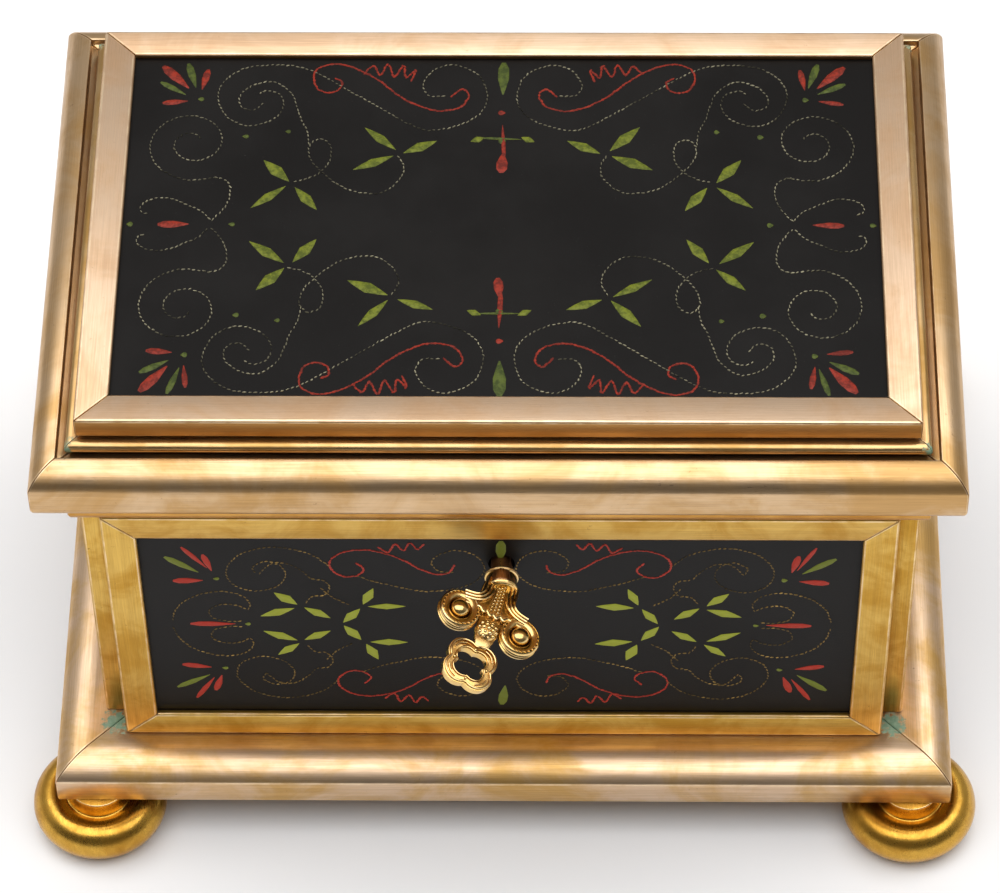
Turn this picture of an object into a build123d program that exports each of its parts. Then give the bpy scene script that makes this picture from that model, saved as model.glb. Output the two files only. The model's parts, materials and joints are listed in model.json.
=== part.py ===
"""Musical jewel casket: painted black panels in bronze frames, on bun feet, with a hinged
lid, a key lock, and a key-wound cylinder movement under a glass cover beside a velvet well.

Millimetres, Z up, front towards -Y. The pieces are drawn about the middle of the feet, and
moved at the end so that the origin is under the middle of the whole footprint, key included,
and the soles stand at 0.
"""

import math
import os

from build123d import *

# ---------------------------------------------------------------- driving dimensions
# Heights above the table
sole_z = 5.0  # height of the soles on this drawing, which becomes 0 at the end
foot_height = 17.0
base_top = 27.4
frame_top = 101.0
rim_top = 110.3
lid_bottom = 110.6
lid_step = 121.0
bead_top = 123.8
lid_top = 129.0

# Half widths. Every moulding's half depth is smaller than its half width by the same amount.
depth_step = 30.4
base_half = 91.5
lid_half = 88.9
rim_half = 82.9
bead_half = 82.0
slab_half = 80.0

# Body faces, and the square notch that is left at each corner between two frames
face_x = 81.6
face_y = 51.6
front_frame_half = 77.1
side_frame_half = 45.8
front_frame_depth = 5.6
side_frame_depth = 5.0
bar_width = 6.7
panel_recess = 1.4
panel_lap = 1.3
panel_thickness = 3.5
lid_bar_width = 6.4
lid_recess = 1.3

mitre_gap = 0.07  # half of the hairline at each mitred joint, measured along an axis
slip = 0.1  # clearance where a fixed piece drops into another
running = 0.05  # radial clearance of a shaft in its bearing

# Carcass of thin boards behind the frames
board = 4.0
carcass_x = 76.4
carcass_y = 45.8
carcass_top = 109.8
inner_x = carcass_x - board
inner_y = carcass_y - board
deck_low = 50.0
deck_top = 54.0

# Key and lock
key_x = 0.3
key_z = 84.7
shank_radius = 2.1
bow_start_y = -55.2
bow_lean = 15.4  # degrees: the neck of the key is bent, and the bow leans to the left
bow_roll = -22.5  # degrees: the bow's plane is turned against the bit

# Hinge
hinge_y = 54.7
hinge_z = 108.6
knuckle_radius = 1.8
hinge_x = 48.0

# Movement
bed_top = 57.5
axis_y = 4.0
axis_z = 75.0
drum_x = -53.0
gear_module = 0.5
crown_module = 0.8
crown_teeth = 36
crown_pinion_teeth = 12
great_teeth = 50
governor_pinion_teeth = 10
worm_wheel_teeth = 24  # driven by a worm of two starts
great_wheel_x = 16.2
governor_angle = -30.0  # direction from the cylinder's axis to the governor arbor
worm_x = 21.5
worm_radius = 1.5
rod_x = 27.3
rod_y = 31.5
partition_x = 30.0
cover_low = 97.0
cover_front = -36.8

# ---------------------------------------------------------------- helpers
nodes = {}


def keep(name, part):
    """Labels a finished piece and stores it under its node name."""
    part.label = name
    nodes[name] = part


def depth_of(half_width):
    """Half depth of a moulding of this half width."""
    return half_width - depth_step


def mitred_frame(half_x, half_y, draw_section):
    """Four bars round a rectangle, mitred at the corners.

    draw_section(edge) draws the bar's closed outline, in a sketch whose x is the distance
    from the centre and whose y is the height. edge is where the bar's outer face stands.
    """
    corner = half_x - half_y
    reach = half_x + bar_width
    cut = corner - mitre_gap
    with BuildPart() as front:
        with BuildSketch(Plane(origin=(0, 0, 0), x_dir=(0, -1, 0), z_dir=(-1, 0, 0))):
            with BuildLine():
                draw_section(half_y)
            make_face()
        extrude(amount=reach, both=True)
        split(bisect_by=Plane(origin=(cut, 0, 0), z_dir=(1, 1, 0)), keep=Keep.BOTTOM)
        split(bisect_by=Plane(origin=(-cut, 0, 0), z_dir=(-1, 1, 0)), keep=Keep.BOTTOM)
    cut = corner + mitre_gap
    with BuildPart() as side:
        with BuildSketch(Plane(origin=(0, 0, 0), x_dir=(1, 0, 0), z_dir=(0, -1, 0))):
            with BuildLine():
                draw_section(half_x)
            make_face()
        extrude(amount=reach, both=True)
        split(bisect_by=Plane(origin=(cut, 0, 0), z_dir=(1, 1, 0)), keep=Keep.TOP)
        split(bisect_by=Plane(origin=(cut, 0, 0), z_dir=(1, -1, 0)), keep=Keep.TOP)
    with BuildPart() as frame:
        add(front.part)
        add(side.part)
        mirror(front.part, about=Plane.XZ)
        mirror(side.part, about=Plane.YZ)
    return frame.part


def box_between(x, y, z):
    """A block from its (low, high) limits on each axis, joined to the open part."""
    with Locations(((x[0] + x[1]) / 2, (y[0] + y[1]) / 2, (z[0] + z[1]) / 2)):
        Box(x[1] - x[0], y[1] - y[0], z[1] - z[0])


def rod_z(x, y, low, high, radius, mode=Mode.ADD):
    """An upright cylinder between two heights."""
    with Locations((x, y, (low + high) / 2)):
        Cylinder(radius, high - low, mode=mode)


def rod_x_axis(y, z, low, high, radius, mode=Mode.ADD):
    """A cylinder along X between two places."""
    with Locations(Location(((low + high) / 2, y, z), (0, 90, 0))):
        Cylinder(radius, high - low, mode=mode)


def rod_y_axis(x, z, low, high, radius, mode=Mode.ADD):
    """A cylinder along Y between two places."""
    with Locations(Location((x, (low + high) / 2, z), (90, 0, 0))):
        Cylinder(radius, high - low, mode=mode)


def screw(x, y, head_low, head_radius, head_height, shank_low):
    """An upright countersunk-slot screw, its head standing on head_low."""
    rod_z(x, y, head_low, head_low + head_height, head_radius)
    rod_z(x, y, shank_low, head_low, head_radius * 0.5)
    slot_depth = head_height * 0.45
    with Locations((x, y, head_low + head_height - slot_depth / 2)):
        Box(head_radius * 2.2, head_radius * 0.32, slot_depth, mode=Mode.SUBTRACT)


def involute_points(teeth, module, addendum, backlash):
    """Right flank of one tooth, from its foot to its tip, as (radius, angle) pairs."""
    pitch = teeth * module / 2
    base = pitch * math.cos(math.radians(20))
    half = (math.pi * module / 2 - backlash) / 2 / pitch
    at_pitch = math.tan(math.radians(20)) - math.radians(20)
    points = []
    steps = 4
    for i in range(steps + 1):
        start = max(base, pitch - module)
        radius = start + (pitch + addendum - start) * i / steps
        roll = math.acos(base / radius)
        points.append((radius, half + at_pitch - (math.tan(roll) - roll)))
    return points


def gear_outline(teeth, module, addendum, root, backlash, phase):
    """Closed outline of a spur gear. phase is the angle of the middle of one tooth."""
    flank = involute_points(teeth, module, addendum, backlash)
    outline = []
    for t in range(teeth):
        middle = phase + 2 * math.pi * t / teeth
        foot = flank[0][1] + 0.02
        outline.append((root * math.cos(middle - foot), root * math.sin(middle - foot)))
        outline += [(r * math.cos(middle - a), r * math.sin(middle - a)) for r, a in flank]
        outline += [(r * math.cos(middle + a), r * math.sin(middle + a)) for r, a in flank[::-1]]
        outline.append((root * math.cos(middle + foot), root * math.sin(middle + foot)))
    return outline


# ---------------------------------------------------------------- base and feet
def base_section(edge):
    """Upright fascia, a convex shoulder and a flat top."""
    Polyline((edge - 7.5, base_top), (edge - 17, base_top), (edge - 17, foot_height), (edge, foot_height))
    Line((edge, foot_height), (edge, base_top - 4.2))
    RadiusArc((edge, base_top - 4.2), (edge - 7.5, base_top), -8.6)


base_ring = mitred_frame(base_half, depth_of(base_half), base_section)

floor_x = base_half - 17 - slip
floor_y = depth_of(base_half) - 17 - slip
board_low = foot_height + 0.5
winder_hole = 4.2
corners = [(sx, sy) for sx in (-1, 1) for sy in (-1, 1)]

with BuildPart() as floor_board:
    box_between((-floor_x, floor_x), (-floor_y, floor_y), (board_low, base_top))
    rod_z(drum_x, axis_y, board_low, base_top, winder_hole, Mode.SUBTRACT)
keep("floor_board", floor_board.part)

foot_x = 83.5
foot_y = 56.5
foot_radius = 13.8
foot_neck = 6.2
foot_sole = 9.0
screw_radius = 1.6


def bun_foot(x, y):
    """A turned foot: a flattened bun with a dished top round a short neck, and a flat sole."""
    with BuildPart() as foot:
        with BuildSketch(Plane(origin=(x, y, 0), x_dir=(1, 0, 0), z_dir=(0, -1, 0))):
            with BuildLine():
                Polyline((foot_neck, foot_height), (0, foot_height), (0, sole_z), (foot_sole, sole_z))
                Spline(
                    (foot_sole, sole_z),
                    (12.3, 6.7),
                    (foot_radius, 10.2),
                    (11.0, 14.6),
                    (8.3, 14.2),
                    (foot_neck, 15.6),
                    tangents=((1, 0.15), (0, 1)),
                )
                Line((foot_neck, 15.6), (foot_neck, foot_height))
            make_face()
        revolve(axis=Axis((x, y, 0), (0, 0, 1)))
        rod_z(x, y, foot_height - 9, foot_height, screw_radius + slip, Mode.SUBTRACT)
    return foot.part


with BuildPart() as bun_feet:
    for sx, sy in corners:
        add(bun_foot(sx * foot_x, sy * foot_y))
keep("bun_feet", bun_feet.part)

# Each foot screws up into the base moulding, so the stud and its hole are cut in both.
with BuildPart() as foot_studs:
    for sx, sy in corners:
        rod_z(sx * foot_x, sy * foot_y, foot_height - 8.5, foot_height + 7, screw_radius)
keep("foot_studs", foot_studs.part)
with BuildPart() as bored_base:
    add(base_ring)
    for sx, sy in corners:
        rod_z(sx * foot_x, sy * foot_y, foot_height, foot_height + 7.5, screw_radius + slip, Mode.SUBTRACT)
keep("base_moulding", bored_base.part)


# ---------------------------------------------------------------- body frames and panels
def frame_section(depth):
    """Outline of a panel frame's bar: a flat face, with a rebate behind it for the panel."""

    def draw(edge):
        lip = edge - bar_width
        rebate = lip + panel_lap + slip
        Polyline(
            (edge, 0),
            (edge, depth - 0.25),
            (edge - 0.25, depth),
            (lip + 0.25, depth),
            (lip, depth - 0.25),
            (lip, depth - panel_recess),
            (rebate, depth - panel_recess),
            (rebate, 0),
            close=True,
        )

    return draw


frame_half_z = (frame_top - base_top) / 2
frame_mid_z = (frame_top + base_top) / 2
open_half_z = frame_half_z - bar_width
open_front = front_frame_half - bar_width
open_side = side_frame_half - bar_width

front_plane = Plane(origin=(0, -face_y + front_frame_depth, frame_mid_z), x_dir=(1, 0, 0), z_dir=(0, -1, 0))
rear_plane = Plane(origin=(0, face_y - front_frame_depth, frame_mid_z), x_dir=(-1, 0, 0), z_dir=(0, 1, 0))
left_plane = Plane(origin=(-face_x + side_frame_depth, 0, frame_mid_z), x_dir=(0, -1, 0), z_dir=(-1, 0, 0))
right_plane = Plane(origin=(face_x - side_frame_depth, 0, frame_mid_z), x_dir=(0, 1, 0), z_dir=(1, 0, 0))

long_frame = mitred_frame(front_frame_half, frame_half_z, frame_section(front_frame_depth))
short_frame = mitred_frame(side_frame_half, frame_half_z, frame_section(side_frame_depth))
keep("front_frame", long_frame.moved(front_plane.location))
keep("rear_frame", long_frame.moved(rear_plane.location))
keep("left_frame", short_frame.moved(left_plane.location))
keep("right_frame", short_frame.moved(right_plane.location))


def painted_panel(plane, half_width, depth):
    """A panel in its frame's rebate, its face panel_recess behind the frame's face."""
    with BuildPart() as panel:
        with BuildSketch(plane.offset(depth - panel_recess - panel_thickness)):
            Rectangle(2 * (half_width + panel_lap), 2 * (open_half_z + panel_lap))
        extrude(amount=panel_thickness)
    return panel.part


keyhole_radius = shank_radius + 0.55
bit_reach = 4.6
bit_width = 1.6


def cut_keyhole(low, high):
    """A keyhole through a wall: a round for the shank, and a slot under it for the bit."""
    rod_y_axis(key_x, key_z, low, high, keyhole_radius, Mode.SUBTRACT)
    slot = bit_reach + 0.6
    with Locations((key_x, (low + high) / 2, key_z - slot / 2)):
        Box(bit_width + 0.8, high - low, slot, mode=Mode.SUBTRACT)


with BuildPart() as front_panel:
    add(painted_panel(front_plane, open_front, front_frame_depth))
    cut_keyhole(-face_y, -carcass_y)
keep("front_panel", front_panel.part)
keep("rear_panel", painted_panel(rear_plane, open_front, front_frame_depth))
keep("left_panel", painted_panel(left_plane, open_side, side_frame_depth))
keep("right_panel", painted_panel(right_plane, open_side, side_frame_depth))


def rim_section(edge):
    """Top rail of the body, with an ovolo under its outer edge."""
    inner = edge - (rim_half - carcass_x - 0.2)
    Polyline((edge, frame_top + 2.6), (edge, rim_top - 0.3), (edge - 0.3, rim_top), (inner, rim_top))
    Polyline((inner, rim_top), (inner, frame_top), (edge - 1.7, frame_top))
    RadiusArc((edge - 1.7, frame_top), (edge, frame_top + 2.6), -2.6)


keep("rim_moulding", mitred_frame(rim_half, depth_of(rim_half), rim_section))

# ---------------------------------------------------------------- carcass
lock_half = 19.0
lock_low = 76.0
lock_front = -45.9
lock_back = -37.5
wood_low = base_top + slip

with BuildPart() as carcass:
    with Locations((0, carcass_y - board / 2, (wood_low + carcass_top) / 2)):
        Box(2 * carcass_x, board, carcass_top - wood_low)
    with Locations((0, -carcass_y + board / 2, (wood_low + carcass_top) / 2)):
        Box(2 * carcass_x, board, carcass_top - wood_low)
    for sx in (-1, 1):
        with Locations((sx * (carcass_x - board / 2), 0, (wood_low + carcass_top) / 2)):
            Box(board, 2 * inner_y - 2 * slip, carcass_top - wood_low)
    with Locations((key_x, -carcass_y, (lock_low + carcass_top) / 2)):
        Box(2 * lock_half + 2 * slip, 3 * board, carcass_top - lock_low + 2 * slip, mode=Mode.SUBTRACT)
keep("carcass", carcass.part)

with BuildPart() as soundboard:
    deck = (-inner_x + 0.2, inner_x - 0.2)
    box_between(deck, (-inner_y + 0.2, inner_y - 0.2), (deck_low, deck_top))
    rod_z(drum_x, axis_y, deck_low, deck_top, winder_hole, Mode.SUBTRACT)
keep("soundboard", soundboard.part)

# A board between the movement and the well, and one in front of the movement
with BuildPart() as partition_boards:
    box_between((partition_x, partition_x + 3), (-inner_y + 0.2, inner_y - 0.2), (deck_top, 109.0))
    box_between((-inner_x + 0.2, partition_x - slip), (-inner_y + 0.1, cover_front - 0.2), (deck_top, 108.5))
    with Locations((key_x, -39.0, (lock_low + 110) / 2)):
        Box(2 * lock_half + 0.4, 8, 110 - lock_low + 0.4, mode=Mode.SUBTRACT)
keep("partition_boards", partition_boards.part)

# Velvet-lined well to the right of the partition
well_x = (partition_x + 3 + slip, inner_x - slip)
well_y = (-inner_y + slip, inner_y - slip)
lining = 1.2
with BuildPart() as well_lining:
    box_between(well_x, well_y, (deck_top + slip, 108.6))
    with Locations(((well_x[0] + well_x[1]) / 2, 0, (deck_top + slip + lining + 120) / 2)):
        Box(
            well_x[1] - well_x[0] - 2 * lining,
            well_y[1] - well_y[0] - 2 * lining,
            120 - deck_top - slip - lining,
            mode=Mode.SUBTRACT,
        )
keep("well_lining", well_lining.part)

with BuildPart() as well_cushion:
    box_between(
        (well_x[0] + lining + 0.5, well_x[1] - lining - 0.5),
        (well_y[0] + lining + 0.5, well_y[1] - lining - 0.5),
        (deck_top + slip + lining + slip, deck_top + 7.5),
    )
    fillet(well_cushion.edges().group_by(Axis.Z)[-1], 2.0)
keep("well_cushion", well_cushion.part)

# ---------------------------------------------------------------- glass cover of the movement
cover_mid_x = (-inner_x + 0.4 + partition_x - 0.3) / 2
cover_half_x = (partition_x - 0.3 + inner_x - 0.4) / 2
cover_mid_y = (cover_front + inner_y - 0.3) / 2
cover_half_y = (inner_y - 0.3 - cover_front) / 2
cover_bar = 5.0
cover_thick = 2.5


def cover_section(edge):
    """Flat brass bar with a rounded top edge and a groove for the pane."""
    Polyline(
        (edge, 0),
        (edge, cover_thick - 0.5),
        (edge - 0.5, cover_thick),
        (edge - cover_bar + 0.5, cover_thick),
        (edge - cover_bar, cover_thick - 0.5),
        (edge - cover_bar, 1.97),
        (edge - cover_bar + 1.5, 1.97),
        (edge - cover_bar + 1.5, 0),
        close=True,
    )


rod_radius = 1.0
with BuildPart() as cover_frame:
    cover_place = Location((cover_mid_x, cover_mid_y, cover_low))
    add(mitred_frame(cover_half_x, cover_half_y, cover_section).moved(cover_place))
    rod_z(rod_x, rod_y, cover_low, cover_low + cover_thick, rod_radius + running, Mode.SUBTRACT)
keep("cover_frame", cover_frame.part)

with BuildPart() as cover_glass:
    with Locations((cover_mid_x, cover_mid_y, cover_low + 1.25)):
        Box(2 * (cover_half_x - cover_bar + 1.4), 2 * (cover_half_y - cover_bar + 1.4), 1.4)
keep("cover_glass", cover_glass.part)

# Battens that carry the deck at its corners and the glass cover at its long sides
with BuildPart() as battens:
    for sx, sy in corners:
        with Locations((sx * (inner_x - 5.2), sy * (inner_y - 5.2), (wood_low + deck_low) / 2)):
            Box(10, 10, deck_low - wood_low - slip)
    box_between((-inner_x + 0.2, 20), (inner_y - 3.2, inner_y - 0.2), (cover_low - 3.2, cover_low - slip))
    box_between((-inner_x + 0.2, -30), (cover_front, cover_front + 2.4), (cover_low - 3.2, cover_low - slip))
keep("battens", battens.part)


# ---------------------------------------------------------------- lid
def lid_section(edge):
    """Lid moulding: rounded foot, upright face, convex shoulder, and a step inside it."""
    inner = edge - 13.4
    wall = edge - 5.3
    Polyline((edge - 2, lid_bottom), (inner, lid_bottom), (inner, lid_step), (wall, lid_step))
    Line((wall, lid_step), (wall, lid_step + 1.5))
    RadiusArc((wall, lid_step + 1.5), (edge, lid_step - 3), 6.5)
    Line((edge, lid_step - 3), (edge, lid_bottom + 2))
    RadiusArc((edge, lid_bottom + 2), (edge - 2, lid_bottom), 2.0)


def bead_section(edge):
    """Half-round bead under the slab frame."""
    r = (bead_top - lid_step) / 2
    Polyline((edge - r, bead_top), (edge - 12, bead_top), (edge - 12, lid_step), (edge - r, lid_step))
    RadiusArc((edge - r, lid_step), (edge - r, bead_top), -r)


def slab_section(edge):
    """Flat-topped frame round the lid's panel, with a shadow line under its outer edge."""
    lip = edge - lid_bar_width
    rebate = lip + panel_lap + slip
    Polyline(
        (edge - 0.8, bead_top),
        (edge - 0.8, bead_top + 0.5),
        (edge, bead_top + 0.5),
        (edge, lid_top - 0.3),
        (edge - 0.3, lid_top),
        (lip + 0.25, lid_top),
        (lip, lid_top - 0.25),
        (lip, lid_top - lid_recess),
        (rebate, lid_top - lid_recess),
        (rebate, bead_top),
        close=True,
    )


keep("lid_moulding", mitred_frame(lid_half, depth_of(lid_half), lid_section))
keep("lid_bead", mitred_frame(bead_half, depth_of(bead_half), bead_section))
keep("lid_slab_frame", mitred_frame(slab_half, depth_of(slab_half), slab_section))

lid_open_x = slab_half - lid_bar_width
lid_open_y = depth_of(slab_half) - lid_bar_width
with BuildPart() as lid_panel:
    box_between(
        (-lid_open_x - panel_lap, lid_open_x + panel_lap),
        (-lid_open_y - panel_lap, lid_open_y + panel_lap),
        (bead_top + slip, lid_top - lid_recess),
    )
keep("lid_panel", lid_panel.part)

lid_inner_x = lid_half - 13.4 - slip
lid_inner_y = depth_of(lid_half) - 13.4 - slip
pad_top = 115.4
pad_low = 111.2
with BuildPart() as lid_board:
    box_between((-lid_inner_x, lid_inner_x), (-lid_inner_y, lid_inner_y), (pad_top, lid_step))
    box_between(
        (-bead_half + 12 + slip, bead_half - 12 - slip),
        (-depth_of(bead_half) + 12 + slip, depth_of(bead_half) - 12 - slip),
        (lid_step, bead_top),
    )

with BuildPart() as lid_pad:
    pad_x = lid_inner_x - 0.4
    pad_y = lid_inner_y - 0.4
    box_between((-pad_x, pad_x), (-pad_y, pad_y), (pad_low, pad_top - slip))
    fillet(lid_pad.edges().group_by(Axis.Z)[0], 1.5)

# ---------------------------------------------------------------- lock
staple_half = 1.0
staple_y = (-44.1, -39.0)
bolt_y = (-43.2, -40.8)
staple_low = 96.4
staple_plate = (pad_top - 1.7, pad_top - 0.02)
staple_foot = 9.0
staple_screw_x = 6.0
staple_screw_y = -41.6
tab_z = (98.0, 103.0)

with BuildPart() as lock_staple:
    box_between((key_x - staple_half, key_x + staple_half), staple_y, (staple_low, staple_plate[1]))
    box_between((key_x - staple_foot, key_x + staple_foot), staple_y, staple_plate)
    with Locations((key_x, (bolt_y[0] + bolt_y[1]) / 2, (tab_z[0] + tab_z[1]) / 2)):
        Box(4, bolt_y[1] - bolt_y[0] + 0.8, tab_z[1] - tab_z[0] + 1.2, mode=Mode.SUBTRACT)
    for sx in (-1, 1):
        rod_z(key_x + sx * staple_screw_x, staple_screw_y, *staple_plate, 0.9, Mode.SUBTRACT)
keep("lock_staple", lock_staple.part)

with BuildPart() as staple_screws:
    for sx in (-1, 1):
        rod_z(key_x + sx * staple_screw_x, staple_screw_y, staple_plate[0], pad_top + 4, 0.85)
        rod_z(key_x + sx * staple_screw_x, staple_screw_y, staple_plate[0] - 0.7, staple_plate[0], 1.7)
keep("staple_screws", staple_screws.part)

with BuildPart() as notched_pad:
    add(lid_pad.part)
    with Locations((key_x, (staple_y[0] + staple_y[1]) / 2, pad_low)):
        Box(2 * staple_foot + 0.8, 2 * (staple_y[1] - staple_y[0]), 2 * pad_low, mode=Mode.SUBTRACT)
keep("lid_pad", notched_pad.part)

with BuildPart() as drilled_board:
    add(lid_board.part)
    for sx in (-1, 1):
        rod_z(key_x + sx * staple_screw_x, staple_screw_y, pad_top, pad_top + 4.2, 0.95, Mode.SUBTRACT)
keep("lid_board", drilled_board.part)

lock_top = 109.6
plate = 0.8
with BuildPart() as lock_case:
    lock_x = (key_x - lock_half, key_x + lock_half)
    box_between(lock_x, (lock_front, lock_back - plate - 0.02), (lock_low, lock_top))
    with Locations((key_x, (lock_front + plate + lock_back) / 2, (lock_low + lock_top) / 2)):
        lock_inner_x = 2 * lock_half - 2 * plate
        lock_inner_z = lock_top - lock_low - 2 * plate
        Box(lock_inner_x, lock_back - lock_front - plate, lock_inner_z, mode=Mode.SUBTRACT)
    with Locations((key_x, (lock_front + plate + staple_y[1] + 0.4) / 2, lock_top)):
        Box(
            2 * staple_half + 0.8,
            staple_y[1] + 0.4 - lock_front - plate,
            3 * plate,
            mode=Mode.SUBTRACT,
        )
    cut_keyhole(lock_front - 1, lock_front + plate + 0.5)
keep("lock_case", lock_case.part)

pin_radius = 1.0
with BuildPart() as lock_cap:
    box_between(lock_x, (lock_back - plate, lock_back), (lock_low, lock_top))
    rod_y_axis(key_x, key_z, -44.2, lock_back - plate, pin_radius)
keep("lock_cap", lock_cap.part)

cam_y = (-44.9, -40.5)
cam_radius = 5.0
finger_tip = 7.6
finger_half = 0.8
finger_rest = 45.0
with BuildPart() as lock_cam:
    rod_y_axis(key_x, key_z, cam_y[0], cam_y[1], cam_radius)
    finger = Location((key_x, (bolt_y[0] + bolt_y[1]) / 2, key_z), (0, -finger_rest, 0))
    with Locations(finger * Location((0, 0, finger_tip / 2))):
        Box(2 * finger_half, bolt_y[1] - bolt_y[0], finger_tip)
    rod_y_axis(key_x, key_z, cam_y[0], cam_y[1], shank_radius + 0.12, Mode.SUBTRACT)
    with Locations((key_x, (cam_y[0] + cam_y[1]) / 2, key_z - 3)):
        Box(bit_width + 0.3, cam_y[1] - cam_y[0], 6, mode=Mode.SUBTRACT)
keep("lock_cam", lock_cam.part)

# The bolt travels as far as the cam's finger carries it in a quarter turn.
finger_hold = 6.2
bolt_travel = 2 * finger_hold * math.sin(math.radians(finger_rest))
notch_x = key_x - bolt_travel / 2
bolt_low = key_z + cam_radius + 0.35
with BuildPart() as lock_bolt:
    box_between((key_x - 16, key_x + 7), bolt_y, (bolt_low, 95.8))
    box_between((key_x - 16, key_x - 10.5), bolt_y, (95.8, tab_z[1]))
    box_between((key_x - 10.5, key_x - 2.2), bolt_y, tab_z)
    with Locations((notch_x, (bolt_y[0] + bolt_y[1]) / 2, (bolt_low + key_z + finger_tip + 0.4) / 2)):
        Box(3.7, 4, key_z + finger_tip + 0.4 - bolt_low, mode=Mode.SUBTRACT)
keep("lock_bolt", lock_bolt.part)

# ---------------------------------------------------------------- key
shank_tip = -38.7
with BuildPart() as key_shank:
    rod_y_axis(key_x, key_z, bow_start_y, shank_tip, shank_radius)
    rod_y_axis(key_x, key_z, shank_tip - 6.0, shank_tip, pin_radius + 0.15, Mode.SUBTRACT)
    box_between(
        (key_x - bit_width / 2, key_x + bit_width / 2),
        (-44.0, -41.2),
        (key_z - bit_reach, key_z - 1.6),
    )
keep("key_shank", key_shank.part)

lean = math.radians(bow_lean)
roll = math.radians(bow_roll)
axis_out = Vector(-math.sin(lean), -math.cos(lean), 0)
across = Vector(math.cos(lean) * math.cos(roll), -math.sin(lean) * math.cos(roll), math.sin(roll))
bow_plane = Plane(origin=(key_x, bow_start_y, key_z), x_dir=across, z_dir=across.cross(axis_out))

volute_at = (6.5, 8.9)
volute_radius = 4.1
cabochon_at = 10.8
flower_at = 19.5
with BuildPart() as key_bow:
    with BuildSketch(bow_plane):
        with BuildLine():
            Polyline(
                (-2.3, 0.9),
                (-2.0, 5.0),
                (-4.6, 9.5),
                (-2.8, 16.0),
                (2.8, 16.0),
                (4.6, 9.5),
                (2.0, 5.0),
                (2.3, 0.9),
                close=True,
            )
        make_face()
    extrude(amount=1.25, both=True)
    with BuildSketch(bow_plane):
        with Locations(*[(sx * volute_at[0], volute_at[1]) for sx in (-1, 1)]):
            Circle(volute_radius)
    extrude(amount=1.6, both=True)
    with BuildSketch(bow_plane):
        with Locations((0, flower_at)):
            with PolarLocations(2.6, 4, start_angle=45):
                Circle(2.9)
            Rectangle(5, 5)
    extrude(amount=1.4, both=True)
    with BuildSketch(bow_plane):
        with Locations((0, flower_at)):
            with PolarLocations(1.6, 4, start_angle=45):
                Circle(1.6)
            Rectangle(2.6, 2.6)
    extrude(amount=3, both=True, mode=Mode.SUBTRACT)
    for sx in (-1, 1):
        with Locations(bow_plane.location * Location((sx * volute_at[0], volute_at[1], 1.5))):
            Sphere(1.5)
    with Locations(bow_plane.location * Location((0, cabochon_at, 0.9))):
        Sphere(2.4)
    with Locations(bow_plane.location * Location((0, 2.2, 0), (90, 0, 0))):
        Cylinder(2.5, 3.2)
    rod_y_axis(key_x, key_z, bow_start_y, bow_start_y + 6, 6, Mode.SUBTRACT)
keep("key_bow", key_bow.part)

# ---------------------------------------------------------------- hinges
knuckle = 7.0
pin = 0.9
leaf = 1.0
leaf_seat = depth_of(rim_half)


def hinge_span(centre, outer):
    """Where the knuckles of a hinge stand: two outer ones, or the middle one."""
    if outer:
        near = 0.5 * knuckle + slip
        far = 1.5 * knuckle
        return [(centre - far, centre - near), (centre + near, centre + far)]
    return [(centre - 0.5 * knuckle, centre + 0.5 * knuckle)]


with BuildPart() as hinge_case_leaves:
    for centre in (-hinge_x, hinge_x):
        for low, high in hinge_span(centre, True):
            rod_x_axis(hinge_y, hinge_z, low, high, knuckle_radius)
            box_between((low, high), (leaf_seat + 0.02, hinge_y), (hinge_z - knuckle_radius, hinge_z))
        box_between(
            (centre - 1.5 * knuckle, centre + 1.5 * knuckle),
            (leaf_seat + 0.02, leaf_seat + leaf),
            (hinge_z - 5.0, hinge_z - knuckle_radius - 0.3),
        )
        for low, high in hinge_span(centre, True):
            box_between((low, high), (leaf_seat + 0.02, leaf_seat + leaf), (hinge_z - 3, hinge_z - 1))
        rod_x_axis(hinge_y, hinge_z, centre - 12, centre + 12, pin + running, Mode.SUBTRACT)
keep("hinge_case_leaves", hinge_case_leaves.part)

lid_leaf_y = (hinge_y, hinge_y + 2.6)
with BuildPart() as hinge_lid_leaves:
    for centre in (-hinge_x, hinge_x):
        for low, high in hinge_span(centre, False):
            rod_x_axis(hinge_y, hinge_z, low, high, knuckle_radius)
            box_between((low, high), lid_leaf_y, (hinge_z - 0.6, lid_bottom - 0.02))
        rod_x_axis(hinge_y, hinge_z, centre - 12, centre + 12, pin + running, Mode.SUBTRACT)
keep("hinge_lid_leaves", hinge_lid_leaves.part)

with BuildPart() as hinge_pins:
    for centre in (-hinge_x, hinge_x):
        rod_x_axis(hinge_y, hinge_z, centre - 1.5 * knuckle - 0.6, centre + 1.5 * knuckle + 0.6, pin)
keep("hinge_pins", hinge_pins.part)

# ---------------------------------------------------------------- movement: fixed parts
bed_low = deck_top + 0.02
bed_x = (-69.5, 29.5)
bed_y = (-33.0, 34.5)
arbor_radius = 2.2
with BuildPart() as bedplate:
    box_between(bed_x, bed_y, (bed_low, bed_top))
    fillet(bedplate.edges().filter_by(Axis.Z), 3.0)
    fillet(bedplate.edges().group_by(Axis.Z)[-1], 0.5)
    rod_z(drum_x, axis_y, bed_low, bed_top, arbor_radius + running, Mode.SUBTRACT)
keep("bedplate", bedplate.part)

bed_screw_at = [(-64.5, -28.0), (-64.5, 29.5), (23.5, -28.0), (6.0, 29.5)]
with BuildPart() as bed_screws:
    for x, y in bed_screw_at:
        screw(x, y, bed_top, 2.4, 1.5, deck_low + 1)
keep("bed_screws", bed_screws.part)
for name in ("bedplate", "soundboard"):
    with BuildPart() as drilled:
        add(nodes[name])
        for x, y in bed_screw_at:
            rod_z(x, y, deck_low, bed_top, 1.2 + running, Mode.SUBTRACT)
    keep(name, drilled.part)

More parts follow.
